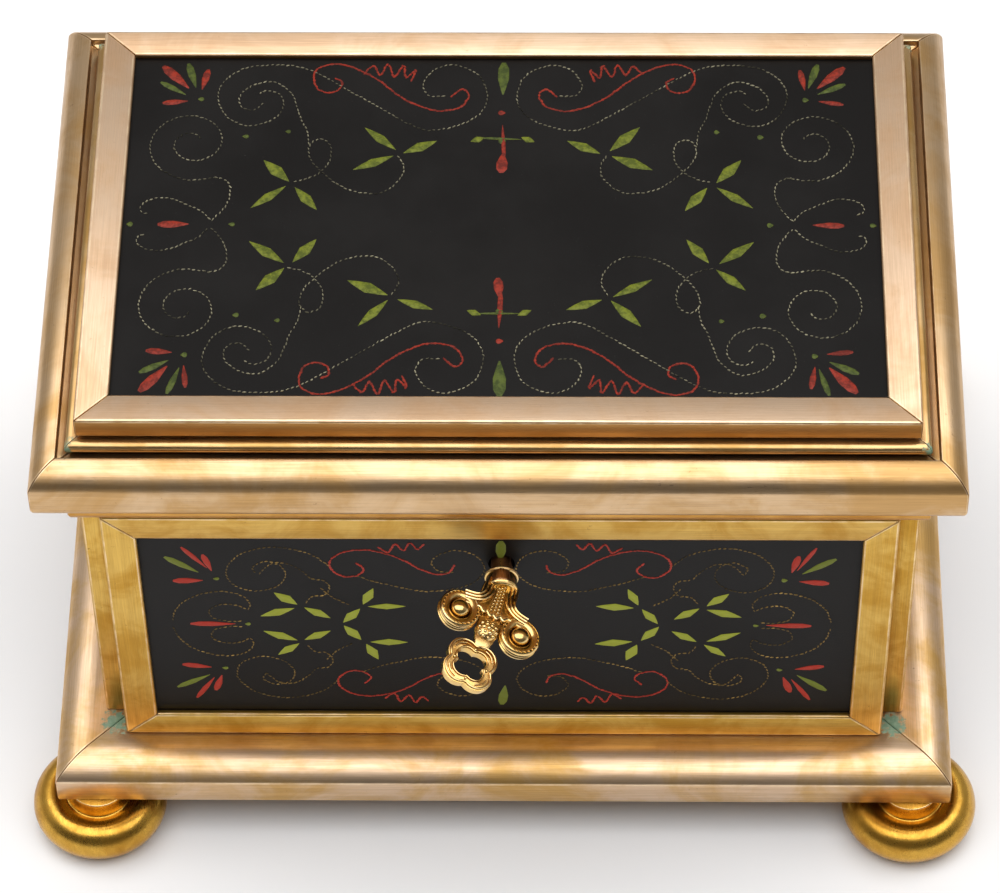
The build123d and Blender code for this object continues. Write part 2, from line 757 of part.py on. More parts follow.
cylinder_x = (-31.5, 12.5)
cylinder_radius = 9.3
arbor_thin = 1.5


def bracket(low, high):
    """Bearing bracket of the cylinder's arbor: a foot, and an upright with a rounded head."""
    box_between((low - 2, high + 0.2), (axis_y - 8, axis_y + 8), (bed_top + 0.02, bed_top + 3))
    box_between((low, high), (axis_y - 4.5, axis_y + 4.5), (bed_top + 0.02, axis_z))
    rod_x_axis(axis_y, axis_z, low, high, 4.5)
    rod_x_axis(axis_y, axis_z, low - 1, high + 1, arbor_thin + running, Mode.SUBTRACT)


with BuildPart() as arbor_brackets:
    bracket(-35.6, -33.4)
    bracket(13.4, 15.4)

comb_tip = axis_y - cylinder_radius - 0.5
comb_x = (-30.5, 11.5)
comb_teeth = 36
comb_low = 74.3
comb_thick = 1.4
comb_screw_x = [-26.0, -14.5, -4.5, 7.0]
with BuildPart() as comb_base:
    box_between(comb_x, (-28.0, -17.5), (bed_top + 0.02, comb_low - 0.02))
    box_between((comb_x[0] - 3, comb_x[1] + 3), (-30.5, -16.0), (bed_top + 0.02, bed_top + 4))
    for x in comb_screw_x:
        rod_z(x, -23.5, comb_low - 8, comb_low, 1.1, Mode.SUBTRACT)
keep("comb_base", comb_base.part)

with BuildPart() as comb:
    box_between(comb_x, (-27.5, comb_tip), (comb_low, comb_low + comb_thick))
    pitch = (comb_x[1] - comb_x[0]) / comb_teeth
    gap_z = comb_low + comb_thick / 2
    gaps = [(comb_x[0] + pitch * (i + 1), comb_tip - 6.5, gap_z) for i in range(comb_teeth - 1)]
    with Locations(*gaps):
        Box(0.28, 13.2, 2 * comb_thick, mode=Mode.SUBTRACT)
    for x in comb_screw_x:
        rod_z(x, -23.5, comb_low, comb_low + comb_thick, 1.15, Mode.SUBTRACT)
keep("comb", comb.part)

with BuildPart() as comb_screws:
    for x in comb_screw_x:
        screw(x, -23.5, comb_low + comb_thick + 0.02, 2.1, 1.3, comb_low - 7.5)
keep("comb_screws", comb_screws.part)

# Bridge over the spring drum, which carries the top of the winding arbor and the click
bridge_low = 73.4
bridge_top = 75.4
pillar_y = (axis_y - 20.5, axis_y + 20.5)
with BuildPart() as drum_bridge:
    box_between((drum_x - 4, drum_x + 4), (pillar_y[0] - 3, pillar_y[1] + 3), (bridge_low, bridge_top))
    fillet(drum_bridge.edges().filter_by(Axis.Z), 3.0)
    rod_z(drum_x, axis_y, bridge_low, bridge_top, 6.0)
    for y in pillar_y:
        rod_z(drum_x, y, bed_top + 0.02, bridge_low, 2.6)
    rod_z(drum_x, axis_y, bridge_low - 1, bridge_top + 1, arbor_radius + running, Mode.SUBTRACT)
    rod_z(drum_x, axis_y + 11.6, bridge_top, bridge_top + 2.6, 0.8)
keep("drum_bridge", drum_bridge.part)

# Governor cock: two cheeks for the wheel's arbor, and a post with an arm for the fly
gov_distance = gear_module * (great_teeth + governor_pinion_teeth) / 2
gov_y = axis_y + gov_distance * math.cos(math.radians(governor_angle))
gov_z = axis_z + gov_distance * math.sin(math.radians(governor_angle))
wheel_radius = gear_module * worm_wheel_teeth / 2
worm_y = gov_y + wheel_radius + worm_radius
gov_arbor = 0.8
fly_arbor = 0.7
arm_z = (86.0, 87.5)
cheek_x = ((18.2, 19.2), (24.0, 25.0))
with BuildPart() as governor_cock:
    box_between((18.2, 25.0), (11.0, 33.0), (bed_top + 0.02, bed_top + 1.5))
    for low, high in cheek_x:
        box_between((low, high), (gov_y - 4, gov_y + 4), (bed_top + 0.02, gov_z + 3))
        rod_x_axis(gov_y, gov_z, low - 1, high + 1, gov_arbor + running, Mode.SUBTRACT)
    box_between((worm_x - 1.5, worm_x + 1.5), (31.2, 33.0), (bed_top + 0.02, arm_z[1]))
    box_between((worm_x - 1.5, worm_x + 1.5), (worm_y - 2, 33.0), arm_z)
    rod_z(worm_x, worm_y, bed_top + 0.5, bed_top + 2, fly_arbor + running, Mode.SUBTRACT)
    rod_z(worm_x, worm_y, arm_z[0] - 1, arm_z[1] + 1, fly_arbor + running, Mode.SUBTRACT)
keep("governor_cock", governor_cock.part)

with BuildPart() as rod_guide:
    box_between((rod_x - 1.9, rod_x + 1.9), (rod_y - 2, rod_y + 2), (bed_top + 0.02, 67.0))
    rod_z(rod_x, rod_y, 60.0, 67.5, rod_radius + running, Mode.SUBTRACT)

with BuildPart() as movement_brackets:
    add(arbor_brackets.part)
    add(rod_guide.part)
keep("movement_brackets", movement_brackets.part)

# ---------------------------------------------------------------- movement: stop rod
rod_low = 61.0
finger_z = (89.45, 90.45)
finger_angle = math.degrees(math.atan2(worm_y - rod_y, worm_x - rod_x))
finger_length = math.hypot(worm_y - rod_y, worm_x - rod_x)
with BuildPart() as stop_rod:
    rod_z(rod_x, rod_y, rod_low, pad_low - 0.3, rod_radius)
    rod_z(rod_x, rod_y, finger_z[0] - 0.6, finger_z[1] + 0.6, 1.7)
    arm = Location((rod_x, rod_y, (finger_z[0] + finger_z[1]) / 2), (0, 0, finger_angle))
    with Locations(arm * Location((finger_length / 2, 0, 0))):
        Box(finger_length, 1.2, finger_z[1] - finger_z[0])
    rod_z(worm_x, worm_y, finger_z[0], finger_z[1], 1.3)
keep("stop_rod", stop_rod.part)

# ---------------------------------------------------------------- movement: spring drum and winder
crown_pitch = crown_module * crown_teeth / 2
pinion_pitch = crown_module * crown_pinion_teeth / 2
crown_plane_z = axis_z - pinion_pitch
crown_root = crown_plane_z - 0.95
crown_tip = crown_plane_z + 0.65
drum_radius = crown_pitch + 1.0
drum_low = bed_top + 1.2
tooth_foot = crown_module * math.pi / 2 + 0.3
tooth_tip = crown_module * math.pi / 2 - 0.7

# One tooth of the crown wheel, in line with the cylinder's axis
with BuildPart() as crown_tooth:
    with BuildSketch(Plane(origin=(drum_x + crown_pitch - 1, axis_y, 0), x_dir=(0, 1, 0), z_dir=(1, 0, 0))):
        with BuildLine():
            Polyline(
                (-tooth_foot / 2, crown_root - 0.1),
                (tooth_foot / 2, crown_root - 0.1),
                (tooth_tip / 2, crown_tip),
                (-tooth_tip / 2, crown_tip),
                close=True,
            )
        make_face()
    extrude(amount=1.95)

with BuildPart() as spring_drum:
    rod_z(drum_x, axis_y, drum_low, crown_root, drum_radius)
    rod_z(drum_x, axis_y, drum_low - 1, crown_root - 1.4, drum_radius - 1.2, Mode.SUBTRACT)
    rod_z(drum_x, axis_y, crown_root - 2, crown_root + 1, arbor_radius + running, Mode.SUBTRACT)
    rod_z(drum_x, axis_y, crown_root - 0.5, crown_root, crown_pitch - 2.0, Mode.SUBTRACT)
    for t in range(crown_teeth):
        add(crown_tooth.part.rotate(Axis((drum_x, axis_y, 0), (0, 0, 1)), 360 * t / crown_teeth))

with BuildPart() as drum_cap:
    rod_z(drum_x, axis_y, drum_low, drum_low + 1.0, drum_radius - 1.25)
    rod_z(drum_x, axis_y, drum_low - 1, drum_low + 2, arbor_radius + running, Mode.SUBTRACT)

with BuildPart() as drum_and_cap:
    add(spring_drum.part)
    add(drum_cap.part)
keep("spring_drum", drum_and_cap.part)

# The mainspring is drawn as its wound coils: concentric bands of spring steel.
spring_z = (drum_low + 1.4, crown_root - 1.8)
with BuildPart() as mainspring:
    for i in range(5):
        outer = drum_radius - 1.6 - 0.9 * i
        rod_z(drum_x, axis_y, spring_z[0], spring_z[1], outer)
        rod_z(drum_x, axis_y, spring_z[0], spring_z[1], outer - 0.5, Mode.SUBTRACT)
keep("mainspring", mainspring.part)

ratchet_teeth = 24
ratchet_z = (bridge_top + 0.3, bridge_top + 1.8)
ratchet_tip = 8.0
ratchet_root = 6.9
with BuildPart() as winding_arbor:
    rod_z(drum_x, axis_y, 9.0, ratchet_z[1] + 1.6, arbor_radius)
    rod_z(drum_x, axis_y, drum_low + 1.3, crown_root - 1.5, 4.2)
keep("winding_arbor", winding_arbor.part)

with BuildPart() as ratchet_wheel:
    outline = []
    for t in range(ratchet_teeth):
        at = 2 * math.pi * t / ratchet_teeth
        after = 2 * math.pi * (t + 0.86) / ratchet_teeth
        outline.append((ratchet_root * math.cos(at), ratchet_root * math.sin(at)))
        outline.append((ratchet_tip * math.cos(after), ratchet_tip * math.sin(after)))
    with BuildSketch(Plane(origin=(drum_x, axis_y, ratchet_z[0]))):
        with BuildLine():
            Polyline(*outline, close=True)
        make_face()
        Circle(arbor_radius + 0.02, mode=Mode.SUBTRACT)
    extrude(amount=ratchet_z[1] - ratchet_z[0])
keep("ratchet_wheel", ratchet_wheel.part)

# The click's nose rests in a tooth gap of the ratchet wheel, and faces the tooth's steep side.
click_y = axis_y + 11.6
with BuildPart() as click:
    rod_z(drum_x, click_y, ratchet_z[0], ratchet_z[1], 2.0)
    with BuildSketch(Plane(origin=(drum_x, click_y, ratchet_z[0]))):
        with BuildLine():
            Polyline((0.3, -1.9), (-4.2, -4.4), (-3.8, -5.5), (-5.3, -4.8), (-1.9, 0.3), close=True)
        make_face()
    extrude(amount=ratchet_z[1] - ratchet_z[0])
    rod_z(drum_x, click_y, ratchet_z[0] - 1, ratchet_z[1] + 1, 0.8 + running, Mode.SUBTRACT)
keep("click", click.part)

with BuildPart() as winding_key:
    rod_z(drum_x, axis_y, sole_z + 1.2, 15.5, 3.6)
    rod_z(drum_x, axis_y, 8.9, 16, arbor_radius + 0.02, Mode.SUBTRACT)
    for sx in (-1, 1):
        with Locations((drum_x + sx * 8.0, axis_y, 9.8)):
            Box(11.5, 1.8, 7.0)
    fillet(winding_key.edges().filter_by(Axis.Y), 3.0)
keep("winding_key", winding_key.part)

# ---------------------------------------------------------------- movement: cylinder
pinion_x = (drum_x + crown_pitch - 1.0, drum_x + crown_pitch + 1.0)
with BuildPart() as cylinder:
    rod_x_axis(axis_y, axis_z, cylinder_x[0], cylinder_x[1], cylinder_radius)
    rod_x_axis(axis_y, axis_z, cylinder_x[0], cylinder_x[1], arbor_thin + 0.02, Mode.SUBTRACT)
keep("cylinder", cylinder.part)

with BuildPart() as cylinder_arbor:
    rod_x_axis(axis_y, axis_z, pinion_x[0] - 0.6, great_wheel_x + 2.0, arbor_thin)
keep("cylinder_arbor", cylinder_arbor.part)


def gear_on_x(low, high, y, z, teeth, module, addendum, root, backlash, phase, bore):
    """A spur gear between two places along an X arbor. phase turns from +Y towards +Z."""
    with BuildPart() as gear:
        with BuildSketch(Plane(origin=(low, y, z), x_dir=(0, 1, 0), z_dir=(1, 0, 0))):
            with BuildLine():
                Polyline(*gear_outline(teeth, module, addendum, root, backlash, phase), close=True)
            make_face()
            Circle(bore, mode=Mode.SUBTRACT)
        extrude(amount=high - low)
    return gear.part


# A gap of the pinion faces down, over the middle of a crown tooth at rest.
with BuildPart() as crown_pinion:
    down = -math.pi / 2 + math.pi / crown_pinion_teeth
    add(gear_on_x(pinion_x[0], pinion_x[1], axis_y, axis_z, crown_pinion_teeth, crown_module, 0.65,
                  pinion_pitch - 0.95, 0.2, down, arbor_thin + 0.02))
keep("crown_pinion", crown_pinion.part)

great_pitch = gear_module * great_teeth / 2
mesh_angle = math.radians(governor_angle)
with BuildPart() as great_wheel:
    add(gear_on_x(great_wheel_x, great_wheel_x + 1.2, axis_y, axis_z, great_teeth, gear_module, 0.42,
                  great_pitch - 0.6, 0.14, mesh_angle, arbor_thin + 0.02))
    for k in range(5):
        spoke = 2 * math.pi * k / 5
        hole_y = axis_y + 7.2 * math.cos(spoke)
        hole_z = axis_z + 7.2 * math.sin(spoke)
        rod_x_axis(hole_y, hole_z, great_wheel_x - 1, great_wheel_x + 2, 2.9, Mode.SUBTRACT)
keep("great_wheel", great_wheel.part)

# ---------------------------------------------------------------- movement: governor
worm_wheel_x = (worm_x - 0.5, worm_x + 0.5)
pinion_r = gear_module * governor_pinion_teeth / 2
with BuildPart() as governor_wheel:
    add(gear_on_x(worm_wheel_x[0], worm_wheel_x[1], gov_y, gov_z, worm_wheel_teeth, gear_module, 0.35,
                  wheel_radius - 0.6, 0.38, math.pi / worm_wheel_teeth, gov_arbor - 0.1))
    add(gear_on_x(great_wheel_x - 0.1, great_wheel_x + 1.4, gov_y, gov_z, governor_pinion_teeth,
                  gear_module, 0.42, pinion_r - 0.6, 0.14,
                  mesh_angle + math.pi + math.pi / governor_pinion_teeth, gov_arbor - 0.1))
    rod_x_axis(gov_y, gov_z, great_wheel_x - 0.1, 25.4, gov_arbor)
keep("governor_wheel", governor_wheel.part)

worm_z = (gov_z - 4.4, gov_z + 4.4)
with BuildPart() as fly_worm:
    rod_z(worm_x, worm_y, bed_top + 0.9, 89.3, fly_arbor)
    rod_z(worm_x, worm_y, worm_z[0] - 1.0, worm_z[1] + 1.0, worm_radius - 0.55)
    rod_z(worm_x, worm_y, 88.3, 89.3, 2.0)
keep("fly_worm", fly_worm.part)

wing_z = (76.0, 84.0)
with BuildPart() as fly_wings:
    rod_z(worm_x, worm_y, wing_z[0], wing_z[1], 1.5)
    with Locations((worm_x, worm_y, (wing_z[0] + wing_z[1]) / 2)):
        Box(11.6, 0.5, wing_z[1] - wing_z[0])
    rod_z(worm_x, worm_y, wing_z[0] - 1, wing_z[1] + 1, fly_arbor + 0.02, Mode.SUBTRACT)
keep("fly_wings", fly_wings.part)

# ---------------------------------------------------------------- export
boxes = [part.bounding_box() for part in nodes.values()]
origin_shift = -(min(box.min.Y for box in boxes) + max(box.max.Y for box in boxes)) / 2

os.makedirs("parts", exist_ok=True)
for name, part in nodes.items():
    placed = part.moved(Location((0, origin_shift, -sole_z)))
    placed.label = name
    export_step(placed, f"parts/{name}.step")
print(len(nodes), "nodes")
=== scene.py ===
"""Looks of a bronze and black musical casket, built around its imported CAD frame.

The bronze work, the panels with their painted scrolls, the front key, the linings and the
cylinder movement are each a class here. Metres, in the frame's own coordinates.
"""

from __future__ import annotations

import json
import logging
import math
import random
from dataclasses import dataclass, field
from enum import Enum
from typing import Callable, Iterable, Sequence

import bpy
from mathutils import Matrix, Vector

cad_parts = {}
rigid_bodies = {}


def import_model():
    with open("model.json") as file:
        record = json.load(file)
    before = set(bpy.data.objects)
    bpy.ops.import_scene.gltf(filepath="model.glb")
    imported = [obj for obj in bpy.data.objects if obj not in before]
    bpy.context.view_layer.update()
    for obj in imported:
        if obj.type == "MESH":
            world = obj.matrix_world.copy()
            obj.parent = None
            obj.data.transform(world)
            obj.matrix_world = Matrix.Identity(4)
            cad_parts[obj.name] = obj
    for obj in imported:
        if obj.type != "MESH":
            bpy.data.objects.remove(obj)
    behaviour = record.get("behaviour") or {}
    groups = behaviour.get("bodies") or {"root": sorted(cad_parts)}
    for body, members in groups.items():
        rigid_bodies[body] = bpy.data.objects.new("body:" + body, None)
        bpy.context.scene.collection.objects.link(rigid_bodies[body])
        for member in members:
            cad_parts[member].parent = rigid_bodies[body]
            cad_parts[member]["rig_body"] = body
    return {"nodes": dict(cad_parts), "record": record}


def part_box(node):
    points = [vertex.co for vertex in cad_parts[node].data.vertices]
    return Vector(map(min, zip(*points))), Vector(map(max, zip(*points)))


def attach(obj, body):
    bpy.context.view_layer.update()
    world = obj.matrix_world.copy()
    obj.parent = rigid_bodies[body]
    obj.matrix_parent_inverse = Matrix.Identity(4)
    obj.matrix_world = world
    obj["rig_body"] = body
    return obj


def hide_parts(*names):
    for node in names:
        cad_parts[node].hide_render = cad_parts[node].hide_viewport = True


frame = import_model()

logging.basicConfig(level=logging.INFO, format="%(message)s")
log = logging.getLogger("casket")

MM = 0.001
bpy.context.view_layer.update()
SHARP = math.radians(32)  # edges that turn by more than this are rounded
Point2 = tuple[float, float]
Colour = tuple[float, float, float]
Socket = bpy.types.NodeSocket
Sockets = dict[str, Socket]

LID_LOW, LID_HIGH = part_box("lid_slab_frame")
BODY_Y = (LID_LOW.y + LID_HIGH.y) / 2  # the casket's own middle, which the key sets off from 0


class Body(str, Enum):
    """The CAD bodies that pieces ride on."""

    CASKET = "casket"
    LID = "lid"
    KEY = "key"
    CYLINDER = "cylinder_train"
    FLY = "fly"


class Slot(str, Enum):
    """The material slots of the record."""

    BRONZE = "gilt_bronze"
    PANEL = "lacquer"
    WOOD = "wood"
    VELVET = "velvet"
    SATIN = "satin"
    STEEL = "steel"
    BRASS = "movement_brass"
    GLASS = "glass"
    KEY = "key_brass"


# ---------------------------------------------------------------- hand tools


def pick(piece: bpy.types.Object) -> bpy.types.Object:
    """Deselects everything, then selects the piece and makes it active.

    Args:
        piece: The object to work on.

    Returns:
        The same object.
    """
    bpy.ops.object.select_all(action="DESELECT")
    piece.select_set(True)
    bpy.context.view_layer.objects.active = piece
    return piece


def settle(piece: bpy.types.Object) -> bpy.types.Object:
    """Puts a piece's place, turn and scale into its mesh.

    Args:
        piece: The object to change.

    Returns:
        The same object.
    """
    pick(piece)
    bpy.ops.object.transform_apply(location=True, rotation=True, scale=True)
    return piece


def modified(piece: bpy.types.Object, kind: str, **settings: object) -> bpy.types.Object:
    """Adds a modifier, sets it up and applies it.

    Args:
        piece: The object to change.
        kind: Blender's type name of the modifier.
        settings: Values of the modifier's own properties.

    Returns:
        The changed object.
    """
    modifier = piece.modifiers.new(kind.lower(), kind)
    for name, value in settings.items():
        setattr(modifier, name, value)
    pick(piece)
    bpy.ops.object.modifier_apply(modifier=modifier.name)
    return piece


def rounded(piece: bpy.types.Object, width: float, segments: int = 2) -> bpy.types.Object:
    """Rounds a piece's sharp edges by width metres.

    Args:
        piece: The piece to round.
        width: How far each edge is rounded, in metres.
        segments: How finely.

    Returns:
        The same piece.
    """
    return modified(
        piece, "BEVEL", width=width, segments=segments, limit_method="ANGLE",
        angle_limit=SHARP, use_clamp_overlap=False,
    )


def smoothed(piece: bpy.types.Object, degrees: float = 35) -> bpy.types.Object:
    """Shades a piece smooth, with creases where faces meet at more than an angle.

    Args:
        piece: The piece to shade.
        degrees: The angle.

    Returns:
        The same piece.
    """
    pick(piece)
    bpy.ops.object.shade_smooth_by_angle(angle=math.radians(degrees))
    return piece


def outward(piece: bpy.types.Object) -> bpy.types.Object:
    """Merges a closed piece's doubles and turns its faces outward.

    Args:
        piece: A closed piece.

    Returns:
        The same piece.
    """
    pick(piece)
    bpy.ops.object.mode_set(mode="EDIT")
    bpy.ops.mesh.select_all(action="SELECT")
    bpy.ops.mesh.remove_doubles(threshold=1e-7)
    bpy.ops.mesh.normals_make_consistent(inside=False)
    bpy.ops.object.mode_set(mode="OBJECT")
    return piece


def joined(name: str, pieces: Sequence[bpy.types.Object]) -> bpy.types.Object:
    """Joins pieces into one object under a new name.

    Args:
        name: Name of the joined object.
        pieces: The objects to join, at least one.

    Returns:
        The joined object.
    """
    bpy.ops.object.select_all(action="DESELECT")
    for piece in pieces:
        piece.select_set(True)
    bpy.context.view_layer.objects.active = pieces[0]
    bpy.ops.object.join()
    pieces[0].name = name
    return pieces[0]


def reshaped(piece: bpy.types.Object, shape: Callable[[Vector], Vector]) -> bpy.types.Object:
    """Moves every vertex of a piece to where a function puts it.

    Args:
        piece: The piece to change.
        shape: Gives a vertex's new place from its old one.

    Returns:
        The same piece.
    """
    for vertex in piece.data.vertices:
        vertex.co = shape(vertex.co.copy())
    piece.data.update()
    return piece


def copies(name: str, model: bpy.types.Object, places: Iterable[Matrix]) -> bpy.types.Object:
    """One object that holds a copy of a small model at each place, and removes the model.

    Args:
        name: Name of the new object.
        model: What is repeated.
        places: A matrix for each copy.

    Returns:
        The new object.
    """
    points = [v.co.copy() for v in model.data.vertices]
    faces = [tuple(p.vertices) for p in model.data.polygons]
    vertices: list[Vector] = []
    polygons: list[tuple[int, ...]] = []
    for place in places:
        start = len(vertices)
        vertices += [place @ p for p in points]
        polygons += [tuple(start + i for i in face) for face in faces]
    mesh = bpy.data.meshes.new(name)
    mesh.from_pydata(vertices, [], polygons)
    mesh.update()
    piece = bpy.data.objects.new(name, mesh)
    bpy.context.scene.collection.objects.link(piece)
    bpy.data.objects.remove(model)
    return smoothed(piece)


def ball(radius: float, segments: int = 16, rings: int = 8) -> bpy.types.Object:
    """A ball at the origin, as a start for a bead, drop or leaf.

    Args:
        radius: Its radius.
        segments: Faces round it.
        rings: Faces from pole to pole.

    Returns:
        The ball.
    """
    bpy.ops.object.select_all(action="DESELECT")
    bpy.ops.mesh.primitive_uv_sphere_add(segments=segments, ring_count=rings, radius=radius)
    return bpy.context.object


def swept(name: str, lines: Sequence[Sequence[Vector]], radius: float, closed: bool = False,
          taper: Callable[[float], float] | None = None, order: int = 3) -> bpy.types.Object:
    """Round bars along smooth lines, made a mesh.

    Args:
        name: Name of the new object.
        lines: The points of each line.
        radius: Radius of the bar.
        closed: True where each line closes on itself.
        taper: Gives the share of the radius at each share of the way along.
        order: Order of the smooth line.

    Returns:
        The new object.
    """
    curve = bpy.data.curves.new(name, "CURVE")
    curve.dimensions = "3D"
    curve.bevel_depth = radius
    curve.bevel_resolution = 2
    curve.resolution_u = 3
    curve.use_fill_caps = not closed
    for line in lines:
        spline = curve.splines.new("NURBS")
        spline.points.add(len(line) - 1)
        for i, point in enumerate(line):
            spline.points[i].co = (*point, 1.0)
            spline.points[i].radius = taper(i / (len(line) - 1)) if taper else 1.0
        spline.order_u = order
        spline.use_endpoint_u = not closed
        spline.use_cyclic_u = closed
    piece = bpy.data.objects.new(name, curve)
    bpy.context.scene.collection.objects.link(piece)
    pick(piece)
    bpy.ops.object.convert(target="MESH")
    return smoothed(bpy.context.object, 50)


def with_grain(piece: bpy.types.Object) -> bpy.types.Object:
    """Stores the long direction of each bar of a piece, for brushed metal and wood to follow.

    Args:
        piece: A piece of one or more bars.

    Returns:
        The same piece.
    """
    mesh = piece.data
    parent = list(range(len(mesh.vertices)))

    def root(i: int) -> int:
        """The vertex that stands for i's bar.

        Args:
            i: Number of a vertex.

        Returns:
            Number of the vertex that stands for i's bar.
        """
        while parent[i] != i:
            parent[i] = parent[parent[i]]
            i = parent[i]
        return i

    for edge in mesh.edges:
        parent[root(edge.vertices[0])] = root(edge.vertices[1])
    bars: dict[int, list[int]] = {}
    for i in range(len(mesh.vertices)):
        bars.setdefault(root(i), []).append(i)
    grain = mesh.attributes.new("grain", "FLOAT_VECTOR", "POINT")
    for members in bars.values():
        places = [mesh.vertices[i].co for i in members]
        reach = [max(p[a] for p in places) - min(p[a] for p in places) for a in range(3)]
        along = [1.0 if a == reach.index(max(reach)) else 0.0 for a in range(3)]
        for i in members:
            grain.data[i].vector = along
    return piece


def finished_node(node: str, edge: float, segments: int = 2) -> bpy.types.Object:
    """A worked copy of a CAD node, with its edges rounded and marked for wear.

    Args:
        node: Name of the CAD node it stands for.
        edge: How far each sharp edge is rounded, in metres. 0 leaves them sharp.
        segments: How finely an edge is rounded.

    Returns:
        The new object, which already replaces the node and rides on its body.
    """
    source = frame["nodes"][node]
    piece = bpy.data.objects.new(node + "_finished", source.data.copy())
    bpy.context.scene.collection.objects.link(piece)
    piece.data.materials.clear()
    pick(piece)
    bpy.ops.object.mode_set(mode="EDIT")
    bpy.ops.mesh.select_all(action="SELECT")
    bpy.ops.mesh.remove_doubles(threshold=2e-6)
    bpy.ops.mesh.dissolve_limited(angle_limit=math.radians(0.4))
    bpy.ops.object.mode_set(mode="OBJECT")
    if edge > 0:
        spare = bpy.data.materials.new("edge_marker")
        piece.data.materials.append(spare)
        piece.data.materials.append(spare)
        modified(
            piece, "BEVEL", width=edge, segments=segments, limit_method="ANGLE", material=1,
            angle_limit=SHARP, use_clamp_overlap=False,
        )
    wear = piece.data.attributes.new("wear", "FLOAT", "CORNER")
    for polygon in piece.data.polygons:
        for corner in polygon.loop_indices:
            wear.data[corner].value = float(polygon.material_index)
        polygon.material_index = 0
    piece.data.materials.clear()
    with_grain(piece)
    smoothed(piece)
    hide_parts(node)
    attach(piece, source["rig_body"])
    return piece


# ---------------------------------------------------------------- shader tools


class Shader:
    """A node tree that is filled in by short calls."""

    def __init__(self, tree: bpy.types.NodeTree) -> None:
        """Keeps the tree that the calls add to."""
        self.tree = tree

    def add(
        self, kind: str, inputs: dict[object, object] | None = None, **settings: object
    ) -> bpy.types.Node:
        """Adds a node.

        Args:
            kind: Blender's type name of the node, without ShaderNode.
            inputs: A value, colour or other node's socket for each named input.
            settings: Values of the node's own properties.

        Returns:
            The new node.
        """
        node = self.tree.nodes.new("ShaderNode" + kind)
        for name, value in settings.items():
            setattr(node, name, value)
        for key, value in (inputs or {}).items():
            socket = node.inputs[key]
            if isinstance(value, Socket):
                self.tree.links.new(value, socket)
            else:
                socket.default_value = value
        return node

    def maths(self, operation: str, a: object, b: object = 0.0, clamp: bool = False) -> Socket:
        """The result of a sum on two values."""
        return self.add("Math", {0: a, 1: b}, operation=operation, use_clamp=clamp).outputs[0]

    def mixed(self, share: object, a: object, b: object) -> Socket:
        """Colour a turning into colour b by a share.

        Args:
            share: How far the colour has turned into b.
            a: Colour at 0.
            b: Colour at 1.

        Returns:
            The mixed colour's socket.
        """
        node = self.add("Mix", data_type="RGBA")
        for index, value in ((0, share), (6, a), (7, b)):
            if isinstance(value, Socket):
                self.tree.links.new(value, node.inputs[index])
            elif index:
                node.inputs[index].default_value = (*value, 1.0)
            else:
                node.inputs[index].default_value = value
        return node.outputs[2]

    def ranged(
        self, value: object, low: float, high: float, to_low: float = 0.0, to_high: float = 1.0
    ) -> Socket:
        """A value eased from one range onto another.

        Args:
            value: What is mapped.
            low: Value that gives to_low.
            high: Value that gives to_high.
            to_low: Result at low.
            to_high: Result at high.

        Returns:
            The result's socket.
        """
        return self.add(
            "MapRange", {0: value, 1: low, 2: high, 3: to_low, 4: to_high}, interpolation_type="SMOOTHSTEP"
        ).outputs[0]

    def noise(self, place: object, scale: float, detail: float = 3.0, roughness: float = 0.55) -> Socket:
        """Cloudy noise at a scale per metre.

        Args:
            place: Where the noise is read.
            scale: How fine it is.
            detail: How many finer layers.
            roughness: How strong they are.

        Returns:
            The noise's socket, 0 to 1.
        """
        return self.add(
            "TexNoise", {"Vector": place, "Scale": scale, "Detail": detail, "Roughness": roughness}
        ).outputs["Fac"]

    def object_place(self) -> Socket:
        """The place on the object, in its own coordinates."""
        return self.add("TexCoord").outputs["Object"]


def group(
    name: str, inputs: dict[str, float], outputs: Sequence[str],
    build: Callable[[Shader, Sockets, Sockets], None],
) -> bpy.types.NodeTree:
    """A shader node group of plain values, built once.

    Args:
        name: Name of the group.
        inputs: Name and starting value of each input.
        outputs: Name of each output value.
        build: Fills the group, given the shader, the inputs and the outputs' sockets.

    Returns:
        The group.
    """
    tree = bpy.data.node_groups.new(name, "ShaderNodeTree")
    for label, value in inputs.items():
        socket = tree.interface.new_socket(label, in_out="INPUT", socket_type="NodeSocketFloat")
        socket.default_value = value
    for label in outputs:
        tree.interface.new_socket(label, in_out="OUTPUT", socket_type="NodeSocketFloat")
    shader = Shader(tree)
    entry = tree.nodes.new("NodeGroupInput")
    leave = tree.nodes.new("NodeGroupOutput")
    build(shader, {k: entry.outputs[k] for k in inputs}, {k: leave.inputs[k] for k in outputs})
    return tree


def _brushed(s: Shader, inputs: Sockets, outputs: Sockets) -> None:
    """Fine lines along each bar, from noise that is drawn out along the grain.

    Args:
        s: The group's node tools.
        inputs: The group's inputs.
        outputs: The group's outputs.
    """
    place = s.object_place()
    grain = s.add("Attribute", attribute_name="grain").outputs["Vector"]
    along = s.add("VectorMath", {0: place, 1: grain}, operation="DOT_PRODUCT").outputs["Value"]
    pull = s.add("VectorMath", {0: grain}, operation="SCALE")
    s.tree.links.new(s.maths("MULTIPLY", along, 0.982), pull.inputs["Scale"])
    lines = s.add("VectorMath", {0: place, 1: pull.outputs[0]}, operation="SUBTRACT").outputs[0]
    fine = s.noise(lines, 5200.0, 2.0, 0.6)
    broad = s.noise(lines, 900.0, 3.0, 0.6)
    both = s.maths("ADD", s.maths("MULTIPLY", fine, 0.6), s.maths("MULTIPLY", broad, 0.4))
    lifted = s.ranged(both, 0.35, 0.65)
    s.tree.links.new(s.maths("MULTIPLY", lifted, inputs["Strength"]), outputs["Lines"])


